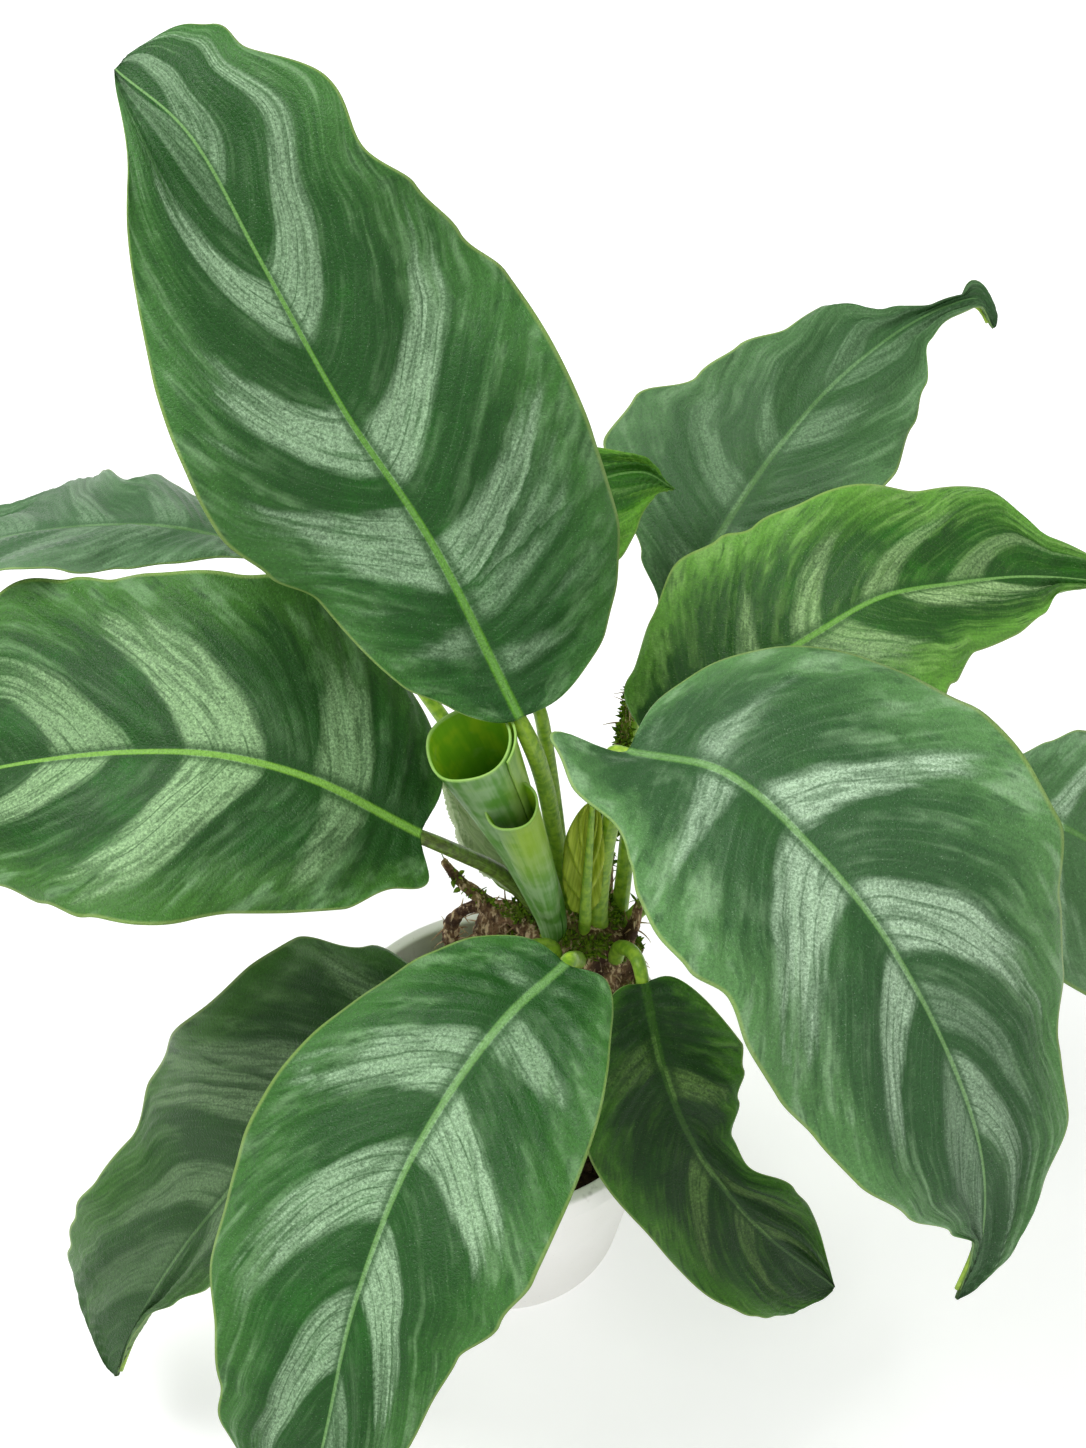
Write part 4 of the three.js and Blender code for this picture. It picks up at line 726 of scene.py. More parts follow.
def leafPaint(name, leaf):
    look = leafLook
    count = float(look["veins"])
    paint = Paint(name)
    q, v, under = paint.mark("bladeAt")
    along, across, u = paint.mark("bladeMm")
    flat = paint.vector(along, across, leaf["seed"] * 9.0)
    a = abs(v)
    isRight = paint.maths("GREATER_THAN", v, 0.0)
    sway = paint.noise(flat, look["cloudScales"][0], 1) - 0.5
    veinAt = paint.vector(q * count, a * look["streakStretch"], isRight * 7.0 + leaf["seed"])
    streak = paint.noise(veinAt, look["streakScales"][0], 2, 0.6)
    ragged = paint.noise(veinAt, look["streakScales"][1], 2, 0.6) - 0.5
    fineAt = paint.vector(q * count * look["fineScale"], a * look["fineStretch"],
                          isRight * 5.0 + leaf["seed"] + 40.0)
    fine = paint.noise(fineAt, 1.0, 2, 0.55)
    cloud = paint.noise(flat, look["cloudScales"][1], 2, 0.6) - 0.5

    # the pale bands, whose ends are read at the midrib and further out
    bandQ = q + sway * look["bandWander"] + ragged * look["bandWander"]
    halves = []
    for key in ("lightLeft", "lightRight"):
        stops = bandStops(leaf[key])
        near = paint.node("ValToRGB", {"stops": stops}, {"Fac": bandQ})
        far = paint.node("ValToRGB", {"stops": stops}, {"Fac": bandQ + a * look["bandTaper"]})
        strength, reach, _ = paint.parts(near)
        halves.append((paint.maths("MINIMUM", strength, paint.parts(far)[0]), reach))
    strength, reach = [left + (right - left) * isRight for left, right in zip(*halves)]
    outward = a + ragged * 0.45 + (streak - 0.5) * 0.6 + cloud * 0.3
    band = strength * (1 - paint.step(outward - reach, -0.12, 0.2))
    band = band * (1 - paint.step(fine + ragged * 0.3 + a * 0.12, 0.5, 0.68) * look["bandBreaks"])
    middle = 1 - paint.step(outward, 0.45, 0.95)

    # fine side veins: dark ones in the pale bands, faint pale ones between them
    cycle = paint.maths("FRACT", q * count + sway * 1.2)
    second = paint.maths("FRACT", q * count * 2.0 + sway * 1.2 + 0.2)
    broken = paint.step(fine - ragged * 0.5, 0.36, 0.56)
    line = (1 - paint.step(abs(cycle - 0.5), 0.02, 0.09)) * (broken * 0.75 + 0.25)
    hair = (1 - paint.step(abs(second - 0.5), 0.04, 0.16)) * (1 - broken)

    # a fine grain like crushed velvet, of worms and specks
    where = paint.place()
    worms = paint.noise(where, look["velvetScales"][0], 2, 0.75)
    specks = paint.step(paint.noise(where, look["velvetScales"][1], 1), 0.66, 0.78)
    grain = (worms - 0.5) * 1.5

    colour = paint.mix(middle, leaf["margin"], leaf["dark"])
    silver = paint.step(streak + cloud * 0.5, 0.48, 0.72) * (0.75 - middle * 0.5)
    layers = [                                  # share and colour, one over the other
        (silver, leaf["streak"]),
        (paint.step(ragged + cloud, 0.02, 0.3) * 0.7, leaf["dark"]),
        (paint.step(cloud + sway, 0.0, 0.4) * middle * 0.6, leaf["deep"]),
        (band * (0.82 + grain * 1.1), leaf["light"]),
        (line * (band * 0.6 + 0.1), leaf["dark"]),
        (hair * (0.1 + band * 0.25), leaf["streak"]),
        (specks * 0.3, leaf["light"]),
    ]

    # the midrib, with a line of painted shade along each side and a painted highlight along its middle
    share = abs(across) / ribHalf(u)
    rib = (1 - paint.step(share, 0.45, 1.0)) * leaf["ribShow"]
    beside = paint.step(share, 0.6, 1.1) * (1 - paint.step(share, *look["ribShadeLine"]))
    tipward = paint.step(u, leaf["ribEnd"] - 0.3, leaf["ribEnd"] + 0.3)
    ribColour = paint.mix(tipward, leaf["rib"], leaf["ribTip"])
    shine = 1 - paint.step(abs(share - 0.2), 0.0, 0.5)
    ribColour = paint.mix(shine * 0.18, ribColour, leaf["light"])
    layers += [(beside * 0.7, leaf["dark"]), (rib, ribColour)]
    for amount, tone in layers:
        colour = paint.mix(amount, colour, tone)

    lit = 1 + grain * look["velvetDepth"]
    colour = paint.node("VectorMath", {"operation": "SCALE"}, {0: colour, "Scale": lit})
    colour = paint.mix(paint.step(a, 0.972, 0.992) * 0.6, colour, look["edgeColour"])
    # the underside: its own pale green, lightened as painted light
    back = paint.mix(0.45 + line * 0.25, leaf["margin"], look["underColourAndLight"])
    colour = paint.mix(under, colour, back)
    roughness = 0.44 + grain * 0.4 - specks * 0.12
    paint.surface({"Base Color": colour, "Roughness": roughness, "Specular IOR Level": 0.27},
                  [(worms, look["velvetBump"])])
    return paint.material


def stalkPaint(name, bright, shade):
    paint = Paint(name)
    _, around, height = paint.mark("bladeAt")
    grain = paint.noise(paint.place(), 0.6, 3)
    alongScale, aroundScale = leafLook["stalkFibres"]
    fibres = paint.noise(paint.vector(height * alongScale, around * aroundScale), 1.0, 2)
    colour = paint.mix(paint.step(grain, 0.3, 0.7), bright, shade)
    colour = paint.mix(paint.step(fibres, 0.5, 0.75) * 0.4, colour, leafLook["edgeColour"])
    paint.surface({"Base Color": colour, "Roughness": 0.38 + fibres * 0.15}, [(fibres, 0.1)])
    return paint.material


def buildLeaf(name, leaf, bladeMaterial, stalkMaterial):
    blade, stalk = buildBlade(leaf), buildStalk(leaf)
    points, faces, marks = joined([blade, stalk])
    addPiece(name + "_fine", points, faces, [bladeMaterial, stalkMaterial], [name],
             {"bladeAt": marks[:, :3], "bladeMm": marks[:, 3:]},
             [0] * len(blade[1]) + [1] * len(stalk[1]))


# Bracts: the small sheaths at the crown, shaped by the leaves' rules

bracts = {
    "bract_back": {
        "spine": [[3, 22.5, 114], [-2, 24, 122], [-8, 26.5, 133], [-12, 30, 146]],
        "stalk": [[6.5, 21, 104], [5.5, 22, 109]], "stalkRadius": [1.8, 1.7, 1.5],
        "left": [[0, 7], [1, 8]], "right": [[0, 7], [1, 8]], "cup": 30, "wave": 6, "grid": [70, 16],
        "pale": (214, 224, 190), "deep": (170, 190, 140),
    },
    "bract_front": {
        "spine": [[19.8, 12, 117], [19.8, 11.6, 125], [20.3, 12.6, 141], [21, 15.5, 157]],
        "stalk": [[19.5, 12.5, 103], [19.6, 12.4, 110]], "stalkRadius": [1.7, 1.6, 1.4],
        "left": [[0, 3.6], [1, 3.6]], "right": [[0, 6], [1, 6]], "cup": 25, "wave": 4, "grid": [60, 14],
        "pale": (178, 196, 60), "deep": (126, 150, 22),
    },
}
bractLook = {
    "shape": {"tip": [0.8, 0.8], "fold": 5, "waves": 1.5, "lobe": [0, 0]},    # the same for both
    "firstSeed": 21,
    "fibres": (1.8, 0.06),          # how close they stand, across and along
    "blotch": (120, 92, 52),
}


def bractPaint(name, pale, deep):
    look = bractLook
    paint = Paint(name)
    along, across, _ = paint.mark("bladeMm")
    fibres = paint.noise(paint.vector(across * look["fibres"][0], along * look["fibres"][1]), 1.0, 3)
    blotch = paint.noise(paint.place(), 0.25, 3)
    colour = paint.mix(paint.step(fibres, 0.35, 0.7), pale, deep)
    colour = paint.mix(paint.step(blotch, 0.62, 0.75) * 0.25, colour, look["blotch"])
    paint.surface({"Base Color": colour, "Roughness": 0.5 + fibres * 0.1, "Specular IOR Level": 0.3},
                  [(fibres, 0.15)])
    return paint.material


# The new leaf, still rolled up: two sheets, each wound a little more than once round its axis

newLeaf = {
    "rolls": [
        {"axis": [[12.5, 12.5, 104], [11.5, 13, 116], [6, 14.5, 138], [0, 14, 160], [-6, 14, 180]],
         "radius": [2.6, 3.9, 5.7, 7.9, 10.2], "slant": 0.01, "startTurn": -0.1, "turns": 1.16},
        {"axis": [[12, 12, 116], [9, 9, 138], [3, 7, 168]],
         "radius": [2.4, 4.4, 6.2], "slant": 0.02, "startTurn": 0.35, "turns": 1.12},
    ],
    "wall": 0.55,
    "stepIn": 0.9,                  # how far the inner end of a sheet lies inside its outer end
    "fullRoom": 6,                  # the radius from which it steps in all the way
    "flare": 0.5,                   # mm, outwards at the rim
    "rimWave": 0.006,
    "dents": 0.012,
    "rows": 90,
    "columns": 110,
    "outside": (142, 176, 124),
    "outsideShade": (92, 146, 56),
    "glow": (160, 194, 30),
    "inside": (122, 182, 26),
    "insideShade": (42, 112, 8),
    "rim": (144, 184, 92),
}


def rollSheet(roll):
    look = newLeaf
    s = np.linspace(0, 1, look["columns"])
    h = np.linspace(0, 1, look["rows"])
    turn = 2 * np.pi * (roll["startTurn"] + s * roll["turns"])
    rim = 1 - roll["slant"] + roll["slant"] * np.sin(turn) + look["rimWave"] * np.sin(3 * turn)
    radiusKeys = [[i / (len(roll["radius"]) - 1), r] for i, r in enumerate(roll["radius"])]
    layers = []
    for inset in (0, look["wall"]):
        for level in h:
            place = np.clip(level * rim, 0, 1)
            centre = smoothCurve(roll["axis"], place)
            ahead = smoothCurve(roll["axis"], np.clip(place + 0.01, 0, 1))
            behind = smoothCurve(roll["axis"], np.clip(place - 0.01, 0, 1))
            tangent = unit(ahead - behind)
            side = unit(np.array([1.0, 0, 0]) - tangent * tangent[:, :1])
            back = np.cross(tangent, side)
            room = readKeys(radiusKeys, place)
            radius = room - inset - look["stepIn"] * s * np.minimum(1, room / look["fullRoom"])
            radius = np.maximum(radius + look["flare"] * smooth(level, 0.94, 1) * (1 - s), 0.3)
            radius = radius * (1 + look["dents"] * np.sin(5 * turn + 7 * level))
            layers.append(centre + side * (radius * np.cos(turn))[:, None]
                          + back * (radius * np.sin(turn))[:, None])
    h, s = np.meshgrid(h, s, indexing="ij")
    marks = [np.stack([h, s, np.full_like(h, inside)], -1).reshape(-1, 3) for inside in (0, 1)]
    return np.concatenate(layers), sheetFaces(*h.shape), np.concatenate(marks)


def newLeafPaint():
    look = newLeaf
    paint = Paint("new_leaf_paint")
    h, s, inside = paint.mark("bladeAt")
    streaks = paint.noise(paint.vector(s * 34.0, h * 1.6), 1.0, 3)
    veins = paint.noise(paint.vector(s * 9.0 + h * 3.0, h * 22.0), 1.0, 2)
    blotch = paint.noise(paint.place(), 0.18, 2)
    outside = paint.mix(paint.step(streaks + blotch, 0.8, 1.2), look["outsideShade"], look["outside"])
    depth = paint.step(h, 0.55, 1.0)
    within = paint.mix(depth * (0.6 + streaks * 0.5), look["insideShade"], look["inside"])
    x = paint.parts(paint.place())[0]
    sunny = paint.step(x + (streaks - 0.5) * 8, 0, 8) * paint.step(h, 0.45, 0.95)
    outside = paint.mix(sunny * 0.8, outside, look["glow"])
    within = paint.mix(paint.step(blotch + streaks * 0.3, 0.6, 0.85) * depth * 0.6, within, look["glow"])
    colour = paint.mix(inside, outside, within)
    colour = paint.mix(paint.step(veins, 0.62, 0.72) * 0.25, colour, look["rim"])
    colour = paint.mix(paint.step(h, 0.99, 0.999) * 0.7, colour, look["rim"])
    paint.surface({"Base Color": colour, "Roughness": 0.4 + streaks * 0.12, "Specular IOR Level": 0.35},
                  [(streaks * 0.6 + veins * 0.4, 0.2)])
    return paint.material


def buildNewLeaf():
    points, faces, marks = joined([rollSheet(roll) for roll in newLeaf["rolls"]])
    addPiece("leaf_rolled_fine", points, faces, [newLeafPaint()], ["leaf_rolled"],
             {"bladeAt": marks})


# The rhizome: rough lumps, prop roots and stumps in one skin, with fibres and moss on it

rhizome = {
    "lumps": [
        [[18, 17, 94], [14, 13, 19]], [[9, 13, 88], [10, 9, 16]],
        [[25, 16, 88], [9, 10, 17]], [[18, 23, 89], [11, 8, 16]],
    ],
    "roots": [
        [[[5, 19, 107], [-6, 20, 109], [-12, 21, 99], [-11, 23, 78], [-10, 24, 66]], 1.7],
        [[[10, 15, 104], [3, 18, 109], [-2, 20, 104], [-4, 20, 90], [-4, 18, 66]], 3.2],
        [[[12, 6, 96], [6, -2, 94], [2, -6, 82], [1, -8, 66]], 1.7],
        [[[24, 8, 94], [28, 0, 90], [30, -4, 78], [29, -5, 66]], 1.6],
        [[[26, 22, 90], [27, 24, 84], [26, 24, 76], [25, 23, 64]], 1.8],
    ],
    "stumps": [
        [[24.5, 26.5, 98], [25, 31, 114], [27.5, 42, 130], [30.5, 56, 147]],
        [[28, 13, 98], [31, 13, 110], [32.5, 14, 120]],
        [[4, 19, 96], [-3, 20, 110], [-9, 20.5, 118], [-13, 21, 126]],
        [[16, 6, 96], [16, 3, 106], [16.5, 1.5, 112]],
    ],
    "rootWobble": 0.3,
    "stumpRadius": (2.3, 1.1),
    "lumpBumps": 0.07,
    "skinStep": 0.75,               # mm
    "roughness": 0.75,
    "fibres": 300,
    "fibreFoot": 74,                # mm, fibres grow above it
    "fibreLength": (1.5, 4.5),
    "fibreRadius": (0.26, 0.07),
    "fibreDroop": 0.35,
    "mossTufts": 2000,
    "tuftLength": (0.6, 1.7),
    "tuftWidth": (0.25, 0.45),      # of its length
    "tuftShape": ((0, 0.5), (0.4, 1), (0.75, 0.7), (1, 0.08)),      # height and width, foot to tip
    "bark": (144, 110, 82),
    "barkDark": (64, 42, 30),
    "barkPale": (214, 186, 152),
    "moss": (64, 98, 14),
    "mossPale": (132, 164, 36),
}


def lumpMesh(centre, size, detail=24):
    theta = np.linspace(0, np.pi, detail)
    turn = np.linspace(0, 2 * np.pi, 2 * detail, endpoint=False)
    t, f = np.meshgrid(theta, turn, indexing="ij")
    x, y, z = np.sin(t) * np.cos(f), np.sin(t) * np.sin(f), np.cos(t)
    bump = 1 + rhizome["lumpBumps"] * np.sin(5 * x + centre[0]) * np.cos(6 * y + 4 * z)
    points = np.array(centre) + np.stack([x, y, z], -1) * np.array(size) * bump[..., None]
    points = points.reshape(-1, 3)
    return points, gridFaces(detail, 2 * detail, closed=True, flip=True), np.zeros_like(points)


def remeshed(points, faces, step):              # one closed skin round all the bodies
    mesh = bpy.data.meshes.new("raw")
    mesh.from_pydata((points * mm).tolist(), [], faces)
    raw = bpy.data.objects.new("raw", mesh)
    bpy.context.scene.collection.objects.link(raw)
    remesh = raw.modifiers.new("skin", "REMESH")
    remesh.mode = "VOXEL"
    remesh.voxel_size = step * mm
    made = evaluated(raw)
    bpy.data.objects.remove(raw)
    coords = np.empty(len(made.vertices) * 3)
    made.vertices.foreach_get("co", coords)
    normals = np.empty(len(made.vertices) * 3)
    made.vertices.foreach_get("normal", normals)
    skinFaces = [list(polygon.vertices) for polygon in made.polygons]
    return coords.reshape(-1, 3) / mm, normals.reshape(-1, 3), skinFaces


def rhizomeSkin():
    look = rhizome
    bodies = [lumpMesh(centre, size) for centre, size in look["lumps"]]
    for controls, radius in look["roots"]:
        path = smoothCurve(controls, np.linspace(0, 1, 40))
        bodies.append(tube(path, radius + look["rootWobble"] * np.sin(np.linspace(0, 13.6, 40)), 14))
    for controls in look["stumps"]:
        path = smoothCurve(controls, np.linspace(0, 1, 24))
        bodies.append(tube(path, np.linspace(*look["stumpRadius"], 24), 12))
    points, faces, _ = joined(bodies)
    skin, normals, skinFaces = remeshed(points, faces, look["skinStep"])
    lumpy = waves(skin, 7, 31) * 0.9 + waves(skin, 2.6, 32, 7) * 0.5
    rings = np.sin(skin[:, 2] * 2.4 + 2 * waves(skin, 9, 33)) * 0.25
    core = 0.35 + 0.65 * smooth(skin[:, 2], 108, 98)
    return skin + normals * ((lumpy + rings) * look["roughness"] * core)[:, None], normals, skinFaces


def mossShare(skin, normals):                   # 0 on bare bark, 1 under thick moss
    up = smooth(normals[:, 2], 0.0, 0.8)
    onCore = 0.2 + 0.8 * smooth(skin[:, 0], -9, 4)
    return smooth(waves(skin, 12, 35) + up * 0.6 + 0.02 * (skin[:, 2] - 95), 0.4, 1.0) * onCore


def growFibre(foot, normal, rng):
    look = rhizome
    out = unit(normal + rng.normal(0, 0.5, 3) + [0, 0, -0.2])
    length = rng.uniform(*look["fibreLength"])
    bend = rng.normal(0, 0.35, 3) + [0, 0, -look["fibreDroop"]]
    t = np.linspace(0, 1, 6)[:, None]
    path = foot - normal * 0.3 + out * length * t + bend * length * t**2 * 0.6
    points, faces, _ = tube(path, np.linspace(*look["fibreRadius"], 6), 4)
    return points, faces, np.tile([0.0, 1.0, rng.uniform()], (len(points), 1))


def growTuft(foot, normal, rng):                # one flat leaf of moss, four corners to a ring
    look = rhizome
    out = unit(normal + rng.normal(0, 0.45, 3))
    side = unit(np.cross(out, rng.normal(size=3)))
    length = rng.uniform(*look["tuftLength"])
    width = length * rng.uniform(*look["tuftWidth"])
    bend = rng.normal(0, 0.3, 3)
    thick = np.cross(out, side) * 0.12
    rows = []
    for t, w in look["tuftShape"]:
        centre = foot - normal * 0.2 + out * length * t + bend * length * t * t
        rows.append([centre - side * width * w, centre + thick, centre + side * width * w, centre - thick])
    points = np.array(rows).reshape(-1, 3)
    return points, barrelFaces(4, 4), np.tile([0.0, 2.0, rng.uniform()], (len(points), 1))


def buildRhizome():
    look = rhizome
    skin, normals, skinFaces = rhizomeSkin()
    mossy = mossShare(skin, normals)
    bodies = [(skin, skinFaces, np.stack([mossy, np.zeros(len(skin)), np.zeros(len(skin))], -1))]
    rng = np.random.default_rng(7)
    for n in rng.choice(len(skin), look["fibres"], replace=False):
        if skin[n, 2] >= look["fibreFoot"]:
            bodies.append(growFibre(skin[n], normals[n], rng))
    weights = mossy * smooth(skin[:, 2], 84, 96) + 1e-6
    for n in rng.choice(len(skin), look["mossTufts"], p=weights / weights.sum()):
        bodies.append(growTuft(skin[n], normals[n], rng))
    points, faces, marks = joined(bodies)
    addPiece("rhizome_fine", points, faces, [rhizomePaint()], ["rhizome"], {"growth": marks})


def rhizomePaint():
    look = rhizome
    paint = Paint("rhizome_paint")
    mossy, kind, chance = paint.mark("growth")
    where = paint.place()
    coarse = paint.noise(where, 0.16, 4, 0.6)
    fine = paint.noise(where, 1.1, 4, 0.65)
    x, y, z = paint.parts(where)
    stripes = paint.noise(paint.vector(x * 1.2, y * 1.2, z * 0.15), 1.0, 3)
    colour = paint.mix(paint.step(coarse + fine * 0.5, 0.6, 0.95), look["barkDark"], look["bark"])
    colour = paint.mix(paint.step(stripes + (coarse - 0.5) * 0.6, 0.52, 0.68), colour, look["barkPale"])
    green = paint.mix(fine, look["moss"], look["mossPale"])
    colour = paint.mix(mossy * paint.step(fine, 0.35, 0.6) * 0.8, colour, green)
    fibre = paint.mix(chance, look["bark"], look["barkPale"])
    tuft = paint.mix(chance, look["moss"], look["mossPale"])
    colour = paint.mix(paint.step(kind, 0.4, 0.6), colour, fibre)
    colour = paint.mix(paint.step(kind, 1.4, 1.6), colour, tuft)
    paint.surface({"Base Color": colour, "Roughness": 0.85, "Specular IOR Level": 0.2},
                  [(fine, 0.5), (coarse, 0.6)])
    return paint.material


# Soil: a rough mound with crumbs, grit and bark chips

soil = {
    "floor": 4.3,
    "edgeHeight": 64,
    "mound": 20,
    "footRadius": 27.2,
    "edgeRadius": 36.46,
    "columns": 160,
    "topRows": 60,
    "sideRows": 12,
    "crumbs": 750,
    "crumbSize": (0.5, 1.9),
    "kinds": (0.8, 0.07, 0.13),     # shares of crumbs, grit and bark chips
    "gritSize": 0.55,
    "chipShape": (1.6, 0.8, 0.45),
    "dark": (40, 29, 21),
    "brown": (78, 58, 42),
    "grit": (196, 190, 178),
    "chip": (120, 84, 54),
}


def soilPoint(share, turn):                     # on the mound, from its middle (0) to its edge (1)
    radius = soil["edgeRadius"] * share
    height = soil["edgeHeight"] + soil["mound"] * (1 - share**2)
    return np.stack([radius * np.cos(turn), radius * np.sin(turn), height], -1)


def soilMound():
    look = soil
    turn = np.linspace(0, 2 * np.pi, look["columns"], endpoint=False)
    share = np.append(np.linspace(1, 0.02, look["topRows"]), 0.0005)
    share, topTurn = np.meshgrid(share, turn, indexing="ij")
    top = soilPoint(share, topTurn)
    top[..., 2] += (waves(top, 6, 41) * 0.6 + waves(top, 1.9, 42, 8) * 0.45) * smooth(1 - share, 0, 0.05)
    z = np.linspace(look["floor"], look["edgeHeight"], look["sideRows"])
    radius = look["footRadius"] + (look["edgeRadius"] - look["footRadius"]) * (z - z[0]) / (z[-1] - z[0])
    radius, _ = np.meshgrid(radius[:-1], turn, indexing="ij")
    z, sideTurn = np.meshgrid(z[:-1], turn, indexing="ij")
    side = np.stack([radius * np.cos(sideTurn), radius * np.sin(sideTurn), z], -1)
    points = np.concatenate([side, top]).reshape(-1, 3)
    return points, barrelFaces(len(points) // look["columns"], look["columns"]), np.zeros_like(points)


def makeCrumb(ball, faces, seed, rng):
    look = soil
    share = 0.97 * math.sqrt(rng.uniform(0.0, 1))
    turn = rng.uniform(0, 2 * np.pi)
    kind = rng.choice(3, p=look["kinds"])
    size = rng.uniform(*look["crumbSize"]) * (look["gritSize"] if kind == 1 else 1)
    stretch = rng.uniform(0.6, 1.2, 3) * (look["chipShape"] if kind == 2 else (1, 1, 1))
    axis = unit(rng.normal(size=3))
    angle = rng.uniform(0, 2 * np.pi)
    crumb = ball * stretch * size * (1 + 0.25 * waves(ball, 1.3, seed))[:, None]
    crumb = (crumb * math.cos(angle) + np.cross(axis, crumb) * math.sin(angle)
             + axis * (crumb @ axis)[:, None] * (1 - math.cos(angle)))
    centre = soilPoint(min(share, 1 - size * 1.6 / look["edgeRadius"]), turn) + [0, 0, size * 0.25]
    return crumb + centre, faces, np.tile([kind + 1.0, rng.uniform(), 0], (len(crumb), 1))


def buildSoil():
    look = soil
    rng = np.random.default_rng(11)
    ball, ballFaces, _ = lumpMesh((0, 0, 0), (1, 1, 1), 6)
    crumbs = [makeCrumb(ball, ballFaces, n + 50, rng) for n in range(look["crumbs"])]
    points, faces, marks = joined([soilMound(), *crumbs])
    paint = Paint("soil_paint")
    kind, chance, _ = paint.mark("crumb")
    fine = paint.noise(paint.place(), 0.9, 5, 0.7)
    colour = paint.mix(paint.step(fine + chance * 0.3, 0.4, 0.85), look["dark"], look["brown"])
    colour = paint.mix(paint.step(kind, 1.4, 1.6) * 0.9, colour, look["grit"])
    colour = paint.mix(paint.step(kind, 2.4, 2.6), colour, paint.mix(fine, look["dark"], look["chip"]))
    paint.surface({"Base Color": colour, "Roughness": 0.95, "Specular IOR Level": 0.15}, [(fine, 0.5)])
    addPiece("soil_fine", points, faces, [paint.material], ["soil"], {"crumb": marks})


# Pot: a plain nursery pot, finely turned, with its three drain holes

pot = {
    "height": 74,
    "footRadius": 30,
    "rimRadius": 43,
    "wall": 3,
    "floor": 4,
    "lipHeight": 9,
    "lipStep": 1.6,
    "lipSlope": 0.6,
    "axisGap": 0.01,                # the innermost ring of the floor
    "edge": 1,
    "drainHoles": 3,
    "drainRadius": 3.5,
    "drainRing": 17,
    "drainSides": 32,
    "sides": 160,
    "sharpAngle": 50,
    "colour": (248, 247, 244),
    "shade": (238, 236, 231),
}


def rounded(outline, corners, radius, steps=5):     # cuts the named corners of a profile into soft ones
    soft = []
    for i, point in enumerate(outline):
        p = np.array(point, float)
        if i not in corners:
            soft.append(p)
            continue
        before, after = np.array(outline[i - 1], float), np.array(outline[i + 1], float)
        a = p + unit(before - p) * min(radius, np.linalg.norm(before - p) / 2)
        b = p + unit(after - p) * min(radius, np.linalg.norm(after - p) / 2)
        for t in np.linspace(0, 1, steps):
            soft.append((1 - t) ** 2 * a + 2 * t * (1 - t) * p + t * t * b)
    return np.array(soft)


def potWall():
    look = pot
    height, rim, gap = look["height"], look["rimRadius"], look["axisGap"]
    lipFoot = height - look["lipHeight"]

    def side(z):
        return look["footRadius"] + (rim - look["lipStep"] - look["footRadius"]) * z / height

    outline = [
        (gap, 0), (look["footRadius"], 0), (side(lipFoot), lipFoot), (rim, lipFoot + look["lipSlope"]),
        (rim, height), (rim - look["wall"], height), (side(look["floor"]) - look["wall"], look["floor"]),
        (gap, look["floor"]),
    ]
    profile = rounded(outline, range(1, len(outline) - 1), look["edge"])
    turn = np.linspace(0, 2 * np.pi, look["sides"], endpoint=False)
    grid = np.stack([profile[:, :1] * np.cos(turn), profile[:, :1] * np.sin(turn),
                     np.repeat(profile[:, 1:], look["sides"], axis=1)], -1)
    return grid.reshape(-1, 3), barrelFaces(len(profile), look["sides"])


def potPaint():
    look = pot
    paint = Paint("pot_paint")
    where = paint.place()
    x, y, z = paint.parts(where)
    cloud = paint.noise(where, 0.05, 3)
    speck = paint.noise(where, 1.6, 3, 0.7)
    colour = paint.mix(cloud, look["colour"], look["shade"])
    splash = paint.step(paint.noise(paint.vector(x * 0.3, y * 0.3, z * 0.1), 1.0, 4), 0.6, 0.75)
    colour = paint.mix(splash * paint.step(z, 60.0, 76.0) * 0.35, colour, soil["brown"])
    colour = paint.mix(paint.step(speck, 0.66, 0.72) * 0.25, colour, soil["brown"])
    paint.surface({"Base Color": colour, "Roughness": 0.55 + speck * 0.1, "Specular IOR Level": 0.4},
                  [(speck, 0.05)])
    return paint.material


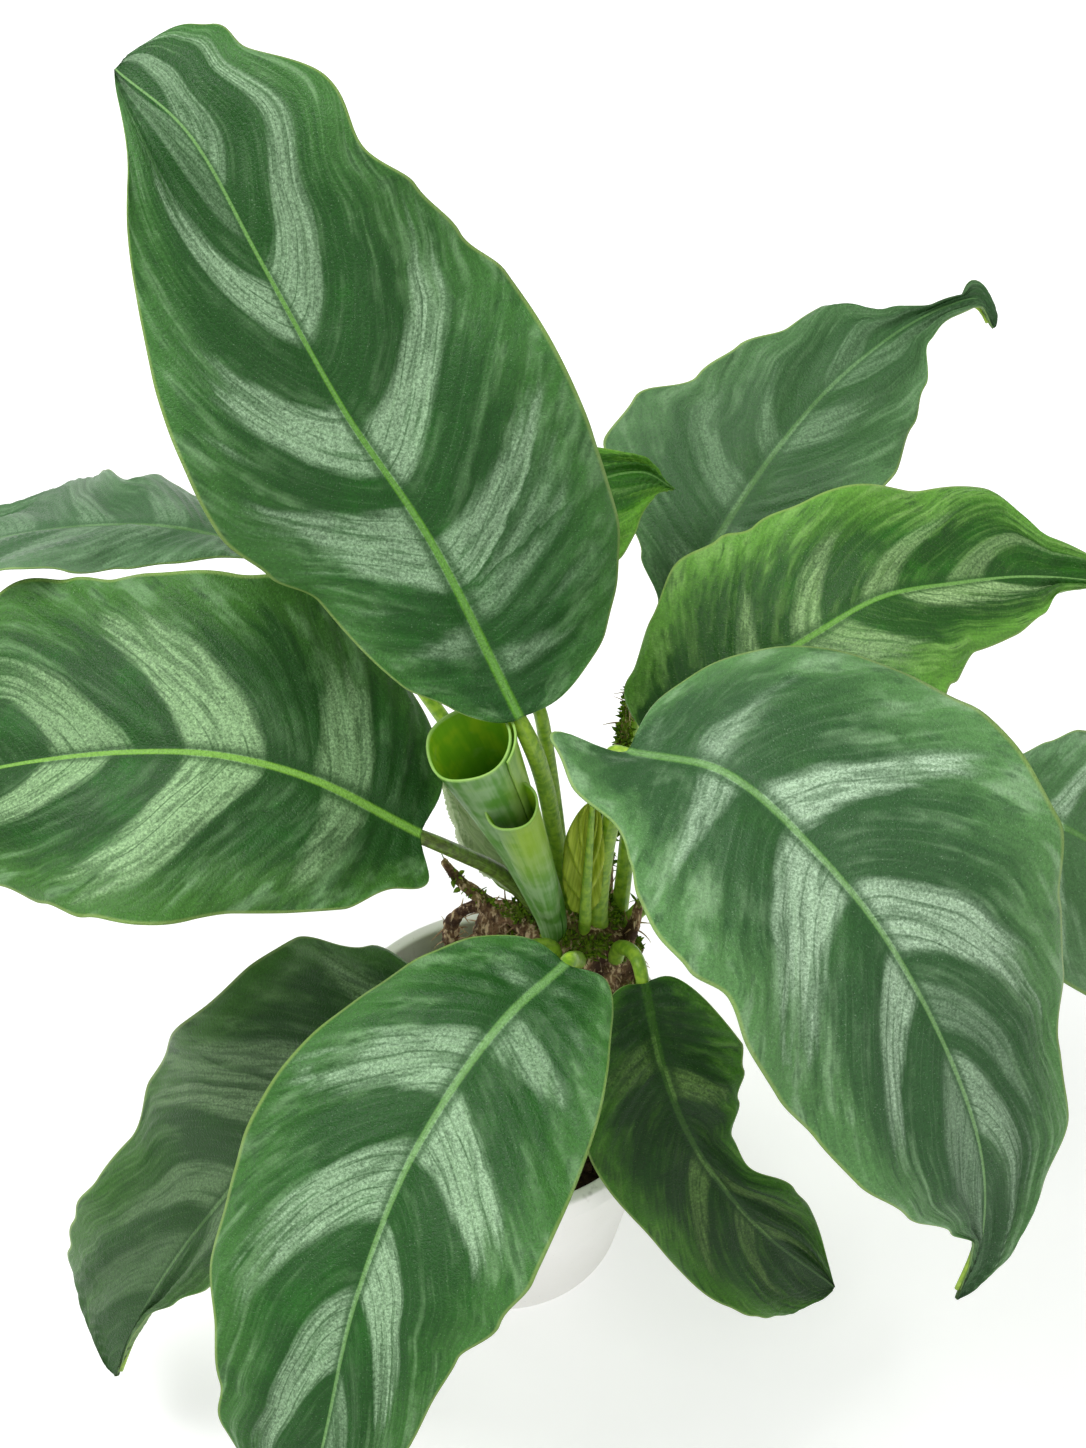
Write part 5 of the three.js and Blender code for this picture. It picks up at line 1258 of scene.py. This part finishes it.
def drainCutter():                              # one rod for each hole, through the pot's floor
    look = pot
    rods = []
    for i in range(look["drainHoles"]):
        angle = 2 * np.pi * i / look["drainHoles"]
        x, y = look["drainRing"] * math.cos(angle), look["drainRing"] * math.sin(angle)
        path = np.array([[x, y, z] for z in (-look["floor"], 0.4, 3.6, 2 * look["floor"])])
        rods.append(tube(path, np.full(len(path), look["drainRadius"]), look["drainSides"]))
    points, faces, _ = joined(rods)
    mesh = bpy.data.meshes.new("drain")
    mesh.from_pydata((points * mm).tolist(), [], faces)
    cutter = bpy.data.objects.new("drain", mesh)
    bpy.context.scene.collection.objects.link(cutter)
    return cutter


def buildPot():
    points, faces = potWall()
    body = addPiece("pot_fine", points, faces, [potPaint()], ["pot"])
    cutter = drainCutter()
    cutting = body.modifiers.new("drain", "BOOLEAN")
    cutting.operation = "DIFFERENCE"
    cutting.solver = "EXACT"
    cutting.object = cutter
    drained = evaluated(body)
    body.modifiers.clear()
    body.data = drained
    bpy.data.objects.remove(cutter)
    drained.polygons.foreach_set("use_smooth", [True] * len(drained.polygons))
    drained.set_sharp_from_angle(angle=math.radians(pot["sharpAngle"]))


# The whole scene, piece by piece

addCamera(bpy.context.scene)
addLights(bpy.context.scene)
addFloor(bpy.context.scene)
print("camera, lights and floor set")
freshStalkAndGlow = stalkPaint("stalk_paint", *leafLook["freshStalkAndGlow"])
oldStalk = stalkPaint("old_stalk_paint", *leafLook["oldStalk"])
for seed, (name, own) in enumerate(leaves.items(), 1):
    leaf = {**commonLeaf, **own, "seed": seed}
    stalkMaterial = oldStalk if leaf["oldStalk"] else freshStalkAndGlow
    buildLeaf(name, leaf, leafPaint(name + "_paint", leaf), stalkMaterial)
    print("built", name)
for seed, (name, own) in enumerate(bracts.items(), bractLook["firstSeed"]):
    bract = {**commonLeaf, **bractLook["shape"], **own, "seed": seed}
    buildLeaf(name, bract, bractPaint(name + "_paint", bract["pale"], bract["deep"]), freshStalkAndGlow)
    print("built", name)
buildNewLeaf()
print("built the new leaf")
buildRhizome()
print("built the rhizome")
buildSoil()
print("built the soil")
buildPot()
print("built the pot")
